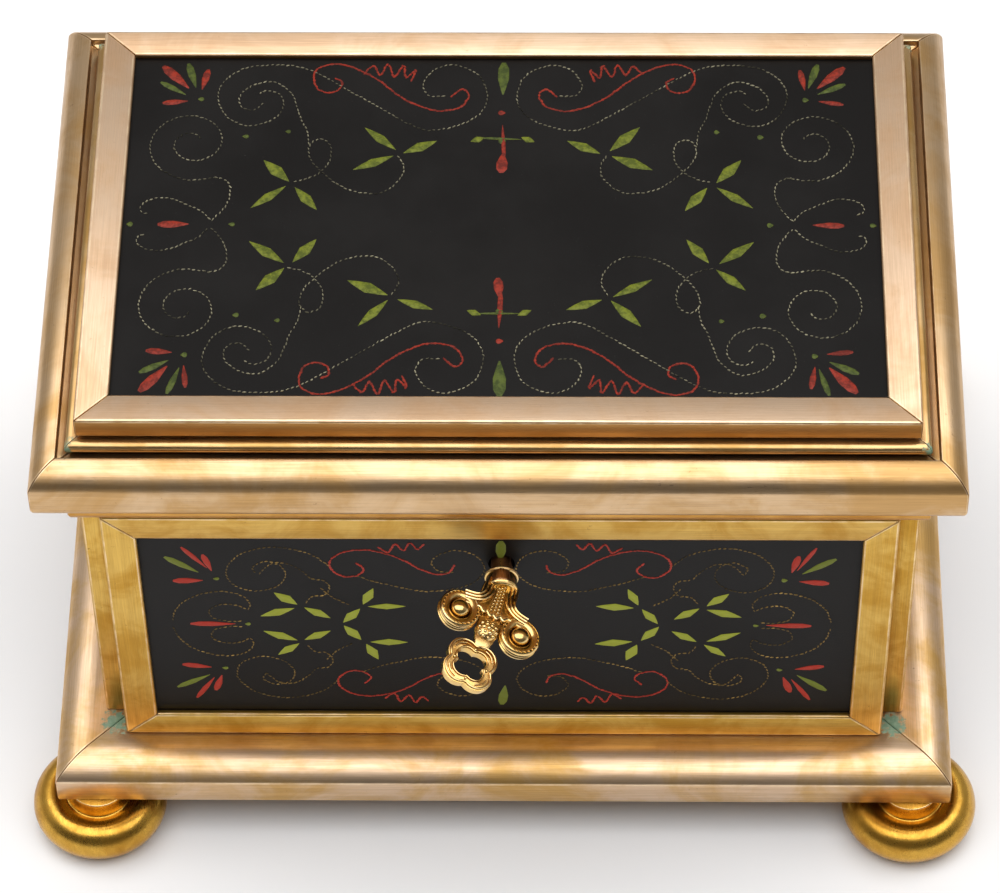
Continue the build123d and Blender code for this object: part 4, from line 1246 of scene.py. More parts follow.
@dataclass
class Panel:
    """One black panel, with its ornament laid on it.

    The panel's own plane is (u, v): u to the right and v up, seen from outside.
    """

    node: str
    middle: Vector
    u: Vector
    v: Vector
    body: Body
    lines: tuple[Line, ...]
    spots: tuple[Spot, ...]
    axis_u: tuple[Spot, ...]
    axis_v: tuple[Spot, ...]
    squeeze: float = 1.0
    seed: int = 1
    stitch: float = 1.02
    stitch_width: float = 0.34
    rise: float = 0.10
    chance: random.Random = field(init=False)

    def __post_init__(self) -> None:
        """Starts the panel's own row of random numbers."""
        self.chance = random.Random(self.seed)

    def place(self, u: float, v: float, angle: float, size: tuple[float, float, float]) -> Matrix:
        """Where a unit model goes on the panel.

        Args:
            u: Place to the right, in millimetres.
            v: Place upward, in millimetres.
            angle: Direction of the model's length, in radians.
            size: Half length, half width and height, in millimetres.

        Returns:
            The matrix that turns, scales and moves the model.
        """
        out = self.u.cross(self.v)
        turned = Matrix((self.u, self.v, out)).transposed().to_4x4()
        spin = Matrix.Rotation(angle, 4, "Z")
        scale = Matrix.Diagonal((*(s * MM for s in size), 1.0))
        spot = self.middle + (self.u * u * self.squeeze + self.v * v) * MM
        return Matrix.Translation(spot) @ turned @ spin @ scale

    def mirrored(self, ways: Sequence[Point2]) -> Iterable[tuple[float, float, float]]:
        """Signs and a small shift for each mirrored quarter.

        Args:
            ways: The signs of u and v in each quarter.

        Returns:
            Both signs and the shift.
        """
        for su, sv in ways:
            yield su, sv, self.chance.uniform(-0.25, 0.25)

    def stitches(self, ink: Ink) -> list[Matrix]:
        """Where each stitch of the panel's lines of one colour lies.

        Args:
            ink: The colour.

        Returns:
            A matrix for each stitch.
        """
        found = []
        brushed = ink is Ink.RED
        for line in self.lines:
            if line.ink is not ink:
                continue
            steps = smooth_line(line.points, 0.8 * self.stitch if brushed else self.stitch)
            for su, sv, shift in self.mirrored(((1, 1), (-1, 1), (1, -1), (-1, -1))):
                for u, v, angle in steps:
                    turn = math.atan2(sv * math.sin(angle), su * math.cos(angle))
                    turn += self.chance.gauss(0, 0.06 if brushed else 0.14) + (0.0 if brushed else 0.18)
                    length = (0.62 if brushed else 0.47) * self.chance.uniform(0.75, 1.15)
                    wide = 0.5 * self.stitch_width * self.chance.uniform(0.8, 1.25)
                    wide *= 1.45 if brushed else 1.0
                    found.append(self.place(
                        su * u + shift + self.chance.gauss(0, 0.04), sv * v + self.chance.gauss(0, 0.05),
                        turn, (length, wide, self.rise * self.chance.uniform(0.7, 1.3)),
                    ))
        return found

    def blots(self, ink: Ink) -> list[Matrix]:
        """Where each leaf, drop or dot of one colour lies.

        Args:
            ink: The colour.

        Returns:
            A matrix for each blot.
        """
        found = []
        for spots, ways in (
            (self.spots, ((1, 1), (-1, 1), (1, -1), (-1, -1))),
            (self.axis_u, ((1, 1), (-1, 1))),
            (self.axis_v, ((1, 1), (1, -1))),
        ):
            for spot in spots:
                if spot.ink is not ink:
                    continue
                for su, sv, shift in self.mirrored(ways):
                    a = (su * spot.start[0] + shift, sv * spot.start[1])
                    b = (su * spot.end[0] + shift, sv * spot.end[1])
                    long = math.dist(a, b) / 2
                    angle = math.atan2(b[1] - a[1], b[0] - a[0]) + self.chance.gauss(0, 0.05)
                    wide = spot.width / 2 * self.chance.uniform(0.85, 1.15)
                    found.append(self.place(
                        (a[0] + b[0]) / 2, (a[1] + b[1]) / 2, angle, (long, wide, 1.7 * self.rise)
                    ))
        return found


def stitch_model() -> bpy.types.Object:
    """One unit stitch: a low bar with pointed ends, its underside in the panel.

    Returns:
        The stitch.
    """
    bpy.ops.object.select_all(action="DESELECT")
    bpy.ops.mesh.primitive_cylinder_add(vertices=6, radius=1.0, depth=2.0, end_fill_type="NGON")
    piece = bpy.context.object

    def shape(p: Vector) -> Vector:
        """A long hexagon that narrows to its top.

        Args:
            p: Place of a vertex.

        Returns:
            Its new place.
        """
        top = 0.45 if p.z > 0 else 1.0
        return Vector((p.x * (0.6 + 0.4 * top), p.y * 1.15 * top, 1.0 if p.z > 0 else -0.4))

    return outward(reshaped(piece, shape))


def blot_model(kind: Ink) -> bpy.types.Object:
    """One unit blot: a pointed leaf, or a drop that is broad at its start.

    Args:
        kind: Colour of the blot. Leaves are pointed, and the rest are drops.

    Returns:
        The blot.
    """
    piece = ball(1.0, 10, 6)
    leaf = kind is Ink.LEAF

    def shape(p: Vector) -> Vector:
        """Points the ends of a leaf, or narrows a drop to its tip.

        Args:
            p: Place of a vertex.

        Returns:
            Its new place.
        """
        x = max(-1.0, min(1.0, p.x))
        if leaf:
            return Vector((x, p.y * (1 - abs(x) ** 1.6) * 1.05 + 0.05 * p.y, p.z if p.z > 0 else p.z * 0.4))
        narrow = 1.0 if x < -0.25 else 1.0 - 0.72 * (x + 0.25) / 1.25
        return Vector((x, p.y * narrow, p.z * (1 if p.z > 0 else 0.4)))

    return outward(reshaped(piece, shape))


@dataclass
class PaintedPanels:
    """The five black panels of the casket and the ornament on them."""

    effects: Effects
    black: BlackPanel = BlackPanel()
    inks: dict[Ink, AgedMetal | Paint] = field(default_factory=lambda: {
        Ink.SILVER: AgedMetal(
            "silver_line", (0.40, 0.37, 0.25), (0.022, 0.021, 0.015), (0.010, 0.010, 0.008), 0.30, 130.0, 1.0
        ),
        Ink.BRASS: AgedMetal(
            "brass_line", (0.26, 0.17, 0.055), (0.060, 0.043, 0.018), (0.02, 0.014, 0.008), 0.32, 130.0, 1.0
        ),
        Ink.RED: Paint("red_paint", (0.25, 0.020, 0.007), (0.10, 0.010, 0.005), (0.44, 0.034, 0.018)),
        Ink.GREEN: Paint("green_paint", (0.070, 0.092, 0.011), (0.032, 0.046, 0.007), (0.17, 0.20, 0.022)),
        Ink.LEAF: Paint("leaf_paint", (0.140, 0.160, 0.010), (0.062, 0.078, 0.006), (0.34, 0.37, 0.035)),
    })

    def panels(self) -> tuple[Panel, ...]:
        """Every panel, with where its ornament goes.

        Returns:
            The lid, front, rear, left and right panels.
        """
        top_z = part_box("lid_panel")[1].z
        front_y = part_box("front_panel")[0].y
        rear_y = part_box("rear_panel")[1].y
        left_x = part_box("left_panel")[0].x
        right_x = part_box("right_panel")[1].x
        low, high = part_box("front_panel")
        height = (low.z + high.z) / 2
        x, y, z = (Vector(axis) for axis in ((1, 0, 0), (0, 1, 0), (0, 0, 1)))
        top = (TOP_LINES, TOP_SPOTS, TOP_AXIS_U, TOP_AXIS_V)
        front = (FRONT_LINES, FRONT_SPOTS, FRONT_AXIS_U, FRONT_AXIS_V)
        left, right = Vector((left_x, BODY_Y, height)), Vector((right_x, BODY_Y, height))
        return (
            Panel("lid_panel", Vector((0, BODY_Y, top_z)), x, y, Body.LID, *top, seed=3),
            Panel("front_panel", Vector((0, front_y, height)), x, z, Body.CASKET, *front, seed=5),
            Panel("rear_panel", Vector((0, rear_y, height)), -x, z, Body.CASKET, *front, seed=7),
            Panel("left_panel", left, -y, z, Body.CASKET, *front, squeeze=SIDE_SQUEEZE, seed=11),
            Panel("right_panel", right, y, z, Body.CASKET, *front, squeeze=SIDE_SQUEEZE, seed=13),
        )

    def build(self) -> None:
        """Dresses each panel and lays its ornament on it, one piece for each colour."""
        black = self.black.material(self.effects)
        paints = {ink: finish.material(self.effects) for ink, finish in self.inks.items()}
        for panel in self.panels():
            dressed_node(panel.node, black, Slot.PANEL)
            for ink in Ink:
                for kind, model, places in (
                    ("lines", stitch_model, panel.stitches(ink)),
                    ("spots", lambda ink=ink: blot_model(ink), panel.blots(ink)),
                ):
                    if not places:
                        continue
                    piece = copies(f"{panel.node}_{ink.name.lower()}_{kind}", model(), places)
                    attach(piece, panel.body.value)
                    dress(piece, paints[ink], Slot.PANEL)


# ---------------------------------------------------------------- studio


@dataclass
class Studio:
    """The floor, the soft lights and the camera."""

    floor_size: float = 6.0
    pitch: float = 52.480
    yaw: float = -1.599
    roll: float = -1.105
    lens: float = 172.4
    place: tuple[float, float, float] = (0.0158, -0.5966, 0.8350)

    def floor(self) -> None:
        """Lays a plain pale floor."""
        bpy.ops.object.select_all(action="DESELECT")
        bpy.ops.mesh.primitive_plane_add(size=self.floor_size)
        floor = settle(bpy.context.object)
        floor.name = "floor"
        material, s, principled = new_material("studio_floor")
        principled.inputs["Base Color"].default_value = (0.88, 0.88, 0.89, 1.0)
        principled.inputs["Roughness"].default_value = 0.75
        floor.data.materials.append(material)

    def light(
        self, name: str, place: Sequence[float], target: Sequence[float], size: Point2, power: float
    ) -> None:
        """Adds a soft rectangular light that faces a target.

        Args:
            name: Its name.
            place: Its middle.
            target: The place it faces.
            size: Width and height.
            power: Watts.
        """
        data = bpy.data.lights.new(name, "AREA")
        data.shape = "RECTANGLE"
        data.size, data.size_y = size
        data.energy = power
        lamp = bpy.data.objects.new(name, data)
        lamp.location = place
        lamp.rotation_euler = (Vector(target) - Vector(place)).to_track_quat("-Z", "Y").to_euler()
        bpy.context.scene.collection.objects.link(lamp)

    def world(self) -> None:
        """A pale surround that falls off towards the front."""
        world = bpy.data.worlds.new("surround")
        bpy.context.scene.world = world
        world.use_nodes = True
        s = Shader(world.node_tree)
        background = world.node_tree.nodes["Background"]
        axes = s.add("SeparateXYZ", {0: s.add("TexCoord").outputs["Generated"]})
        behind = s.ranged(axes.outputs[1], -0.55, 0.10)
        above = s.ranged(axes.outputs[2], 0.70, 0.97)
        low = s.maths("ADD", s.maths("MULTIPLY", s.ranged(axes.outputs[2], 0.60, 0.80), 0.40), 0.60)
        share = s.maths("MAXIMUM", s.maths("MULTIPLY", behind, low), above)
        s.tree.links.new(s.mixed(share, (0.15, 0.145, 0.14), (1.0, 0.99, 0.98)), background.inputs["Color"])
        background.inputs["Strength"].default_value = 0.72

    def camera(self) -> None:
        """Sets up the camera."""
        pitch, yaw, roll = (math.radians(a) for a in (self.pitch, self.yaw, self.roll))
        forward = Vector((math.sin(yaw) * math.cos(pitch), math.cos(yaw) * math.cos(pitch), -math.sin(pitch)))
        level = Vector((math.cos(yaw), -math.sin(yaw), 0.0))
        upward = level.cross(forward)
        right = level * math.cos(roll) + upward * math.sin(roll)
        up = upward * math.cos(roll) - level * math.sin(roll)
        data = bpy.data.cameras.new("camera")
        data.lens = self.lens
        data.sensor_width = 36.0
        data.sensor_fit = "HORIZONTAL"
        data.clip_start = 0.01
        camera = bpy.data.objects.new("camera", data)
        turned = Matrix((right, up, -forward)).transposed().to_4x4()
        camera.matrix_world = Matrix.Translation(self.place) @ turned
        bpy.context.scene.collection.objects.link(camera)
        bpy.context.scene.camera = camera

    def build(self) -> None:
        """Sets up the whole studio."""
        self.floor()
        self.world()
        self.light("overhead_softbox", (0.0, -0.12, 1.25), (0.0, -0.12, 0.0), (2.2, 1.6), 25.0)
        self.light("left_softbox", (-1.1, 0.0, 0.8), (0.0, 0.0, 0.06), (0.6, 0.8), 0.25)
        self.camera()
        bpy.context.scene.view_settings.view_transform = "Standard"


# ---------------------------------------------------------------- front key


@dataclass
class FrontKey:
    """The cast key in the front lock: leafy neck, two scrolls, a rosette and a pierced quatrefoil."""

    effects: Effects
    lean: float = 15.4
    twist: float = -22.5
    offset: float = 0.3 * MM
    start: float = 55.2 * MM
    scroll_out: float = 8.9
    scroll_side: float = 6.5
    boss_out: float = 10.9
    ring_out: float = 19.5
    arc_radius: float = 4.42
    notch_radius: float = 3.42
    gold: AgedMetal = AgedMetal(
        "key_gold", (0.74, 0.50, 0.17), (0.58, 0.33, 0.07), (0.060, 0.028, 0.006), 0.19, 260.0, 0.7, 0.9,
        lines=0.0, wear=0.8, worn=(0.97, 0.80, 0.52),
    )
    shank: AgedMetal = AgedMetal(
        "key_shank_bronze", (0.50, 0.24, 0.10), (0.33, 0.13, 0.05), (0.08, 0.03, 0.012), 0.24, 200.0, 0.8, 0.8
    )
    parts: list[bpy.types.Object] = field(default_factory=list)
    out: Vector = field(init=False)
    side: Vector = field(init=False)
    face: Vector = field(init=False)
    origin: Vector = field(init=False)

    def __post_init__(self) -> None:
        """Works out the bow's own directions and where it starts."""
        lean, twist = math.radians(self.lean), math.radians(self.twist)
        self.out = Vector((-math.sin(lean), -math.cos(lean), 0.0))
        self.side = Vector((
            math.cos(lean) * math.cos(twist), -math.sin(lean) * math.cos(twist), math.sin(twist)
        ))
        self.face = self.side.cross(self.out)
        shank_low, shank_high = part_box("key_shank")
        self.origin = Vector((self.offset, BODY_Y - self.start, (shank_low.z + shank_high.z) / 2))

    def put(self, piece: bpy.types.Object) -> bpy.types.Object:
        """Moves a piece from the bow's flat drawing, in millimetres, to its place.

        Args:
            piece: Drawn with x across, y outward along the bow and z towards its face.

        Returns:
            The same piece, which joins the bow.
        """
        reshaped(piece, lambda p: self.origin + (self.side * p.x + self.out * p.y + self.face * p.z) * MM)
        self.parts.append(outward(piece))
        return piece

    def plate(
        self, outline: Sequence[Point2], holes: Sequence[Sequence[Point2]], half: float, edge: float
    ) -> None:
        """Adds a flat casting with pierced holes and rounded edges.

        Args:
            outline: Its outer line.
            holes: The line of each hole.
            half: Half its thickness.
            edge: How far its edges are rounded.
        """
        curve = bpy.data.curves.new("bow_plate", "CURVE")
        curve.dimensions = "2D"
        curve.fill_mode = "BOTH"
        curve.extrude = half
        for ring in (outline, *holes):
            spline = curve.splines.new("POLY")
            spline.points.add(len(ring) - 1)
            for i, point in enumerate(ring):
                spline.points[i].co = (*point, 0.0, 1.0)
            spline.use_cyclic_u = True
        piece = bpy.data.objects.new("bow_plate", curve)
        bpy.context.scene.collection.objects.link(piece)
        pick(piece)
        bpy.ops.object.convert(target="MESH")
        piece = outward(bpy.context.object)
        self.put(modified(
            piece, "BEVEL", width=edge, segments=3, limit_method="ANGLE", angle_limit=math.radians(60)
        ))

    def bead(self, place: Sequence[float], radius: float, flat: float = 1.0, segments: int = 12) -> None:
        """Adds a round or flattened bead.

        Args:
            place: Its middle.
            radius: Its radius.
            flat: Its height as a share of its width.
            segments: Faces round it.
        """
        piece = ball(radius, segments, max(6, segments // 2))
        self.put(reshaped(piece, lambda p: Vector((p.x + place[0], p.y + place[1], p.z * flat + place[2]))))

    def ridge(self, lines: Sequence[Sequence[Sequence[float]]], radius: float, closed: bool = False,
              taper: Callable[[float], float] | None = None) -> None:
        """Adds round ridges along smooth lines.

        Args:
            lines: The points of each line.
            radius: Radius of a ridge.
            closed: True where each line closes on itself.
            taper: Gives the share of the radius along the way.
        """
        self.put(swept("bow_ridge", [[Vector(p) for p in line] for line in lines], radius, closed, taper))

    def turned(
        self, place: Point2, profile: Sequence[Point2], pits: int = 0, pit_radius: float = 0.0
    ) -> None:
        """Adds a round casting from its profile, the same on both faces.

        Args:
            place: Its middle on the bow.
            profile: Radius and height from the middle of its face to its edge.
            pits: How many pits its border has.
            pit_radius: How far the pits are from its middle.
        """
        full = [*profile, *((r, -z) for r, z in reversed(profile))]
        piece = ball(1.0, 2 * pits or 36, len(full) - 1)
        lows = {round(math.cos(math.pi * i / (len(full) - 1)), 4): full[i] for i in range(len(full))}

        def shape(p: Vector) -> Vector:
            """Takes a ring of the ball to its place on the profile.

            Args:
                p: Place of a vertex.

            Returns:
                Its new place.
            """
            radius, height = lows[min(lows, key=lambda z: abs(z - p.z))]
            angle = math.atan2(p.y, p.x)
            if pits and abs(radius - pit_radius) < 0.01 and round(angle * pits / math.pi) % 2:
                height -= math.copysign(0.42, height)
            return Vector((place[0] + radius * math.cos(angle), place[1] + radius * math.sin(angle), height))

        self.put(reshaped(piece, shape))

    def scrolls(self) -> None:
        """Adds the two volutes: a dished rim with a pitted border, and a ball in its middle."""
        profile = (
            (0.0, 0.25), (1.95, 0.25), (2.2, 0.85), (2.5, 1.15), (3.05, 1.28), (3.38, 1.30), (3.55, 1.30),
            (3.72, 1.30), (3.95, 1.18), (4.12, 0.9), (4.12, 0.62), (3.92, 0.45), (3.92, 0.22), (4.08, 0.08),
        )
        for sign in (-1, 1):
            middle = (sign * self.scroll_side, self.scroll_out)
            self.turned(middle, profile, 26, 3.55)
            for face in (-1, 1):
                self.bead((*middle, face * 0.85), 1.88, 0.78, 24)

    def rosette(self) -> None:
        """Adds the grainy boss between the scrolls."""
        profile = ((0.0, 1.9), (0.9, 1.75), (1.6, 1.35), (2.1, 0.8), (2.35, 0.3), (2.35, 0.1))
        self.turned((0.0, self.boss_out), profile)
        grains = ((1, 0.0, 0.62, 1.9), (6, 0.95, 0.50, 1.7), (10, 1.72, 0.42, 1.2))
        for face in (-1, 1):
            for count, radius, size, height in grains:
                for i, angle in enumerate(ring_angles(count)):
                    across, out = radius * math.cos(angle), self.boss_out + radius * math.sin(angle)
                    swell = size * (1.0 + 0.18 * math.sin(2.4 * i))
                    self.bead((across, out, face * height), swell, 0.85, 8)

    def quatrefoil(self) -> None:
        """Adds the pierced flower at the end, with engraved arcs and drilled dots."""
        centre = (-0.9, self.ring_out)
        outer = lobed_outline(centre, 2.6, 3.25)
        inner = lobed_outline(centre, 1.75, 1.75)
        self.plate(outer, [inner], 0.72, 0.3)
        rims = ((lobed_outline(centre, 2.55, 2.88), 0.20), (lobed_outline(centre, 1.74, 2.05), 0.16))
        for face in (-1, 1):
            for rim, radius in rims:
                self.ridge([[(x, y, face * 0.95) for x, y in rim[::2]]], radius, closed=True)
            for k in range(4):
                lobe = math.radians(45 + 90 * k)
                arc = []
                for t in (-0.3, -0.15, 0.0, 0.15, 0.3):
                    bulge = 0.25 * (1 - (3 * t) ** 2)
                    arc.append((
                        centre[0] + self.arc_radius * math.cos(lobe + t) + bulge * math.cos(lobe),
                        centre[1] + self.arc_radius * math.sin(lobe + t) + bulge * math.sin(lobe),
                        face * 0.95,
                    ))
                self.ridge([arc], 0.15)
                notch = math.radians(90 * k)
                across = centre[0] + self.notch_radius * math.cos(notch)
                out = centre[1] + self.notch_radius * math.sin(notch)
                self.bead((across, out, face * 0.92), 0.3, 0.7, 10)

    def neck(self) -> None:
        """Adds the broad leafy neck: ribbed arms that run into the scrolls round a grainy band."""
        outline = [
            (2.7, -0.7), (3.25, 0.4), (3.3, 1.8), (3.2, 3.2), (3.9, 4.3), (5.2, 4.9), (6.6, 5.2), (6.2, 7.4),
            (4.6, 7.2), (3.4, 7.7), (2.9, 6.9), (2.1, 8.0), (1.4, 7.1), (0.7, 8.3),
        ]
        ring = [*outline, (0.0, 7.4), *((-x, y) for x, y in reversed(outline))]
        self.plate(ring, (), 1.15, 0.4)
        core = [(1.1, 7.0), (2.4, 8.4), (1.9, 13.0), (1.3, 15.2)]
        self.plate([*core, *((-x, y) for x, y in reversed(core))], (), 0.75, 0.3)
        for face in (-1, 1):
            arms = []
            for sign in (-1, 1):
                for shift in (0.0, 0.85, 1.7):
                    arms.append([
                        (sign * (3.0 - shift), -0.6, face * 1.0),
                        (sign * (3.1 - shift), 1.6, face * 1.35),
                        (sign * (3.1 - 0.75 * shift), 3.4 + 0.5 * shift, face * 1.55),
                        (sign * (4.5 - 0.3 * shift), 4.7 + 0.75 * shift, face * 1.45),
                        (sign * (6.8 - 0.2 * shift), 4.75 + 0.8 * shift, face * 1.3),
                    ])
            self.ridge(arms, 0.42, taper=lambda t: 1.0 - 0.35 * t)
            self.ridge([[
                (sign * 0.98, -0.4, face * 1.2), (sign * 1.0, 3.0, face * 1.5), (sign * 1.35, 6.6, face * 1.3)
            ] for sign in (-1, 1)], 0.2)
            for i in range(9):
                for column in (-1, 0, 1):
                    across, out = column * (0.5 + 0.03 * i), 0.1 + 0.76 * i + 0.3 * abs(column)
                    self.bead((across, out, face * 1.3), 0.30, 0.9, 8)
            edge = [(-3.6, 6.9), (-2.9, 6.7), (-2.1, 7.8), (-1.4, 6.9), (-0.7, 8.1), (0.0, 7.2), (0.7, 8.1),
                    (1.4, 6.9), (2.1, 7.8), (2.9, 6.7), (3.6, 6.9)]
            self.ridge([[(x, y, face * 1.25) for x, y in edge]], 0.3)

    def collar(self) -> None:
        """Turns the barrel's end: two rings, a groove and a short cone."""
        dressed_node("key_shank", self.shank.material(self.effects), Slot.KEY, 0.12 * MM)
        for place, radius, wide in ((-2.7, 3.45, 0.46), (-1.0, 0.0, 0.0), (0.15, 3.2, 0.42)):
            bpy.ops.object.select_all(action="DESELECT")
            if radius:
                bpy.ops.mesh.primitive_torus_add(
                    major_segments=36, minor_segments=8, major_radius=radius - wide, minor_radius=wide
                )
                ring = bpy.context.object
            else:
                bpy.ops.mesh.primitive_cylinder_add(vertices=36, radius=2.95, depth=3.4)
                ring = rounded(bpy.context.object, 0.55, 3)
                reshaped(ring, lambda p: Vector((p.x * (1 - 0.04 * p.z), p.y * (1 - 0.04 * p.z), p.z)))
            reshaped(ring, lambda p, place=place: self.origin + Vector((p.x, -(p.z + place), p.y)) * MM)
            self.parts.append(outward(ring))

    def build(self) -> None:
        """Builds the bow as one piece and dresses it."""
        self.collar()
        self.neck()
        self.rosette()
        self.scrolls()
        self.quatrefoil()
        bow = smoothed(joined("key_bow_cast", self.parts), 40)
        mark_cavities(bow)
        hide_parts("key_bow")
        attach(bow, Body.KEY.value)
        dress(bow, self.gold.material(self.effects), Slot.KEY)


def ring_angles(count: int) -> list[float]:
    """Even angles round a ring, in radians.

    Args:
        count: How many.

    Returns:
        The angles.
    """
    return [2 * math.pi * i / count for i in range(count)]


def lobed_outline(centre: Point2, offset: float, radius: float) -> list[Point2]:
    """The outer line of four round lobes set diagonally round a centre.

    Args:
        centre: Middle of the flower.
        offset: How far each lobe's middle is from the centre.
        radius: Radius of each lobe.

    Returns:
        The points of the closed line.
    """
    points = []
    for angle in ring_angles(72):
        best = 0.0
        for k in range(4):
            lobe = math.radians(45 + 90 * k)
            near = offset * math.cos(angle - lobe)
            under = radius**2 - offset**2 + near**2
            if under > 0:
                best = max(best, near + math.sqrt(under))
        points.append((centre[0] + best * math.cos(angle), centre[1] + best * math.sin(angle)))
    return points


def mark_cavities(piece: bpy.types.Object) -> None:
    """Stores how far each place stands out as its wear; below 0, in the hollows, it marks where shade is
    painted dark.

    Args:
        piece: The piece to mark.
    """
    mesh = piece.data
    total = [0.0] * len(mesh.vertices)
    count = [0] * len(mesh.vertices)
    for edge in mesh.edges:
        a, b = edge.vertices
        way = mesh.vertices[b].co - mesh.vertices[a].co
        if way.length < 1e-9:
            continue
        way.normalize()
        total[a] -= way.dot(mesh.vertices[a].normal)
        total[b] += way.dot(mesh.vertices[b].normal)
        count[a] += 1
        count[b] += 1
    wear = mesh.attributes.new("wear", "FLOAT", "POINT")
    for i, value in enumerate(total):
        wear.data[i].value = max(-1.0, min(1.0, 2.2 * value / max(1, count[i])))


# ---------------------------------------------------------------- linings


def block(low: Sequence[float], high: Sequence[float], cuts: int) -> tuple[bpy.types.Object, Vector, Vector]:
    """A finely divided unit block, with the middle and half size that it is to be shaped to.

    Args:
        low: Lowest corner of the space it is for.
        high: Highest corner of that space.
        cuts: How often each edge is divided.

    Returns:
        The block, the middle and the half size.
    """
    bpy.ops.object.select_all(action="DESELECT")
    bpy.ops.mesh.primitive_cube_add(size=2.0)
    bpy.ops.object.mode_set(mode="EDIT")
    bpy.ops.mesh.select_all(action="SELECT")
    bpy.ops.mesh.subdivide(number_cuts=cuts)
    bpy.ops.object.mode_set(mode="OBJECT")
    low, high = Vector(low), Vector(high)
    return bpy.context.object, (low + high) / 2, (high - low) / 2


def eased(value: float, low: float, high: float) -> float:
    """A value's share of the way from low to high, eased at both ends.

    Args:
        value: The value.
        low: Where the way starts.
        high: Where it ends.

    Returns:
        The share, 0 to 1.
    """
    share = max(0.0, min(1.0, (value - low) / (high - low)))
    return share * share * (3 - 2 * share)


@dataclass
class LidLining:
    """The buttoned satin pad under the lid."""

    effects: Effects
    across: float = 18.75 * MM
    down: float = 14.8 * MM
    margin: float = 4.0 * MM
    notch: float = 6.4 * MM
    notch_start: float = 11.0 * MM
    notch_end: float = 15.0 * MM
    satin: Cloth = Cloth("cream_satin", (0.62, 0.45, 0.24), (0.42, 0.28, 0.13), 0.30, 0.35, 5200.0, 0.00002)

    def buttons(self, middle: Vector, half: Vector) -> list[tuple[float, float]]:
        """Where the buttons sit, in rows set off by half a step.

        Args:
            middle: The pad's middle.
            half: Half its size.

        Returns:
            The place of each button.
        """
        found = []
        for row in range(-2, 3):
            for column in range(-4, 5):
                x = (column + 0.5 * (row % 2)) * self.across
                y = row * self.down
                inside = abs(x) < half.x - self.margin and abs(y) < half.y - self.margin
                if inside and not (row == -2 and abs(x) < self.notch_end):
                    found.append((middle.x + x, middle.y + y))
        return found

    def build(self) -> None:
        """Builds the tufted pad and its buttons."""
        low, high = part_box("lid_pad")
        piece, middle, half = block(low, high, 60)
        staple_low, staple_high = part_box("lock_staple")
        staple = (staple_low.x + staple_high.x) / 2

        def shape(p: Vector) -> Vector:
            """Crowns the pad between its buttons, and leaves room for the staple.

            Args:
                p: Place of a vertex.

            Returns:
                Its new place.
            """
            u, v = p.x, p.y
            x = middle.x + u * half.x * (1 - 0.010 * (1 - v * v))
            room = self.notch * (1 - eased(abs(x - staple), self.notch_start, self.notch_end))
            y = low.y + room + (v + 1) / 2 * (high.y - low.y - room)
            a = (x - middle.x) / self.across + (y - middle.y) / (2 * self.down)
            b = (x - middle.x) / self.across - (y - middle.y) / (2 * self.down)
            puff = math.sqrt(abs(math.sin(math.pi * a) * math.sin(math.pi * b)) + 0.004)
            rim = (1 - abs(u) ** 14) * (1 - abs(v) ** 10)
            thick = (0.30 + 0.66 * puff) * (0.25 + 0.75 * rim)
            wrinkle = 0.02 * math.sin(190 * u + 23 * v) * math.sin(11 * u - 90 * v) * puff
            if p.z < 0:
                return Vector((x, y, high.z + p.z * (high.z - low.z) * (thick + wrinkle) * 0.98))
            return Vector((x, y, high.z - (1 - p.z) * 0.2 * MM))

        piece = smoothed(outward(reshaped(piece, shape)), 60)
        piece.name = "lid_lining"
        satin = self.satin.material(self.effects)
        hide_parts("lid_pad")
        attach(piece, Body.LID.value)
        dress(piece, satin, Slot.SATIN)
        places = [
            Matrix.Translation((x, y, low.z + 2.2 * MM)) @ Matrix.Diagonal((1.0, 1.0, 0.55, 1.0))
            for x, y in self.buttons(middle, half)
        ]
        buttons = copies("lid_lining_buttons", outward(ball(1.7 * MM, 16, 10)), places)
        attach(buttons, Body.LID.value)
        dress(buttons, satin, Slot.SATIN)


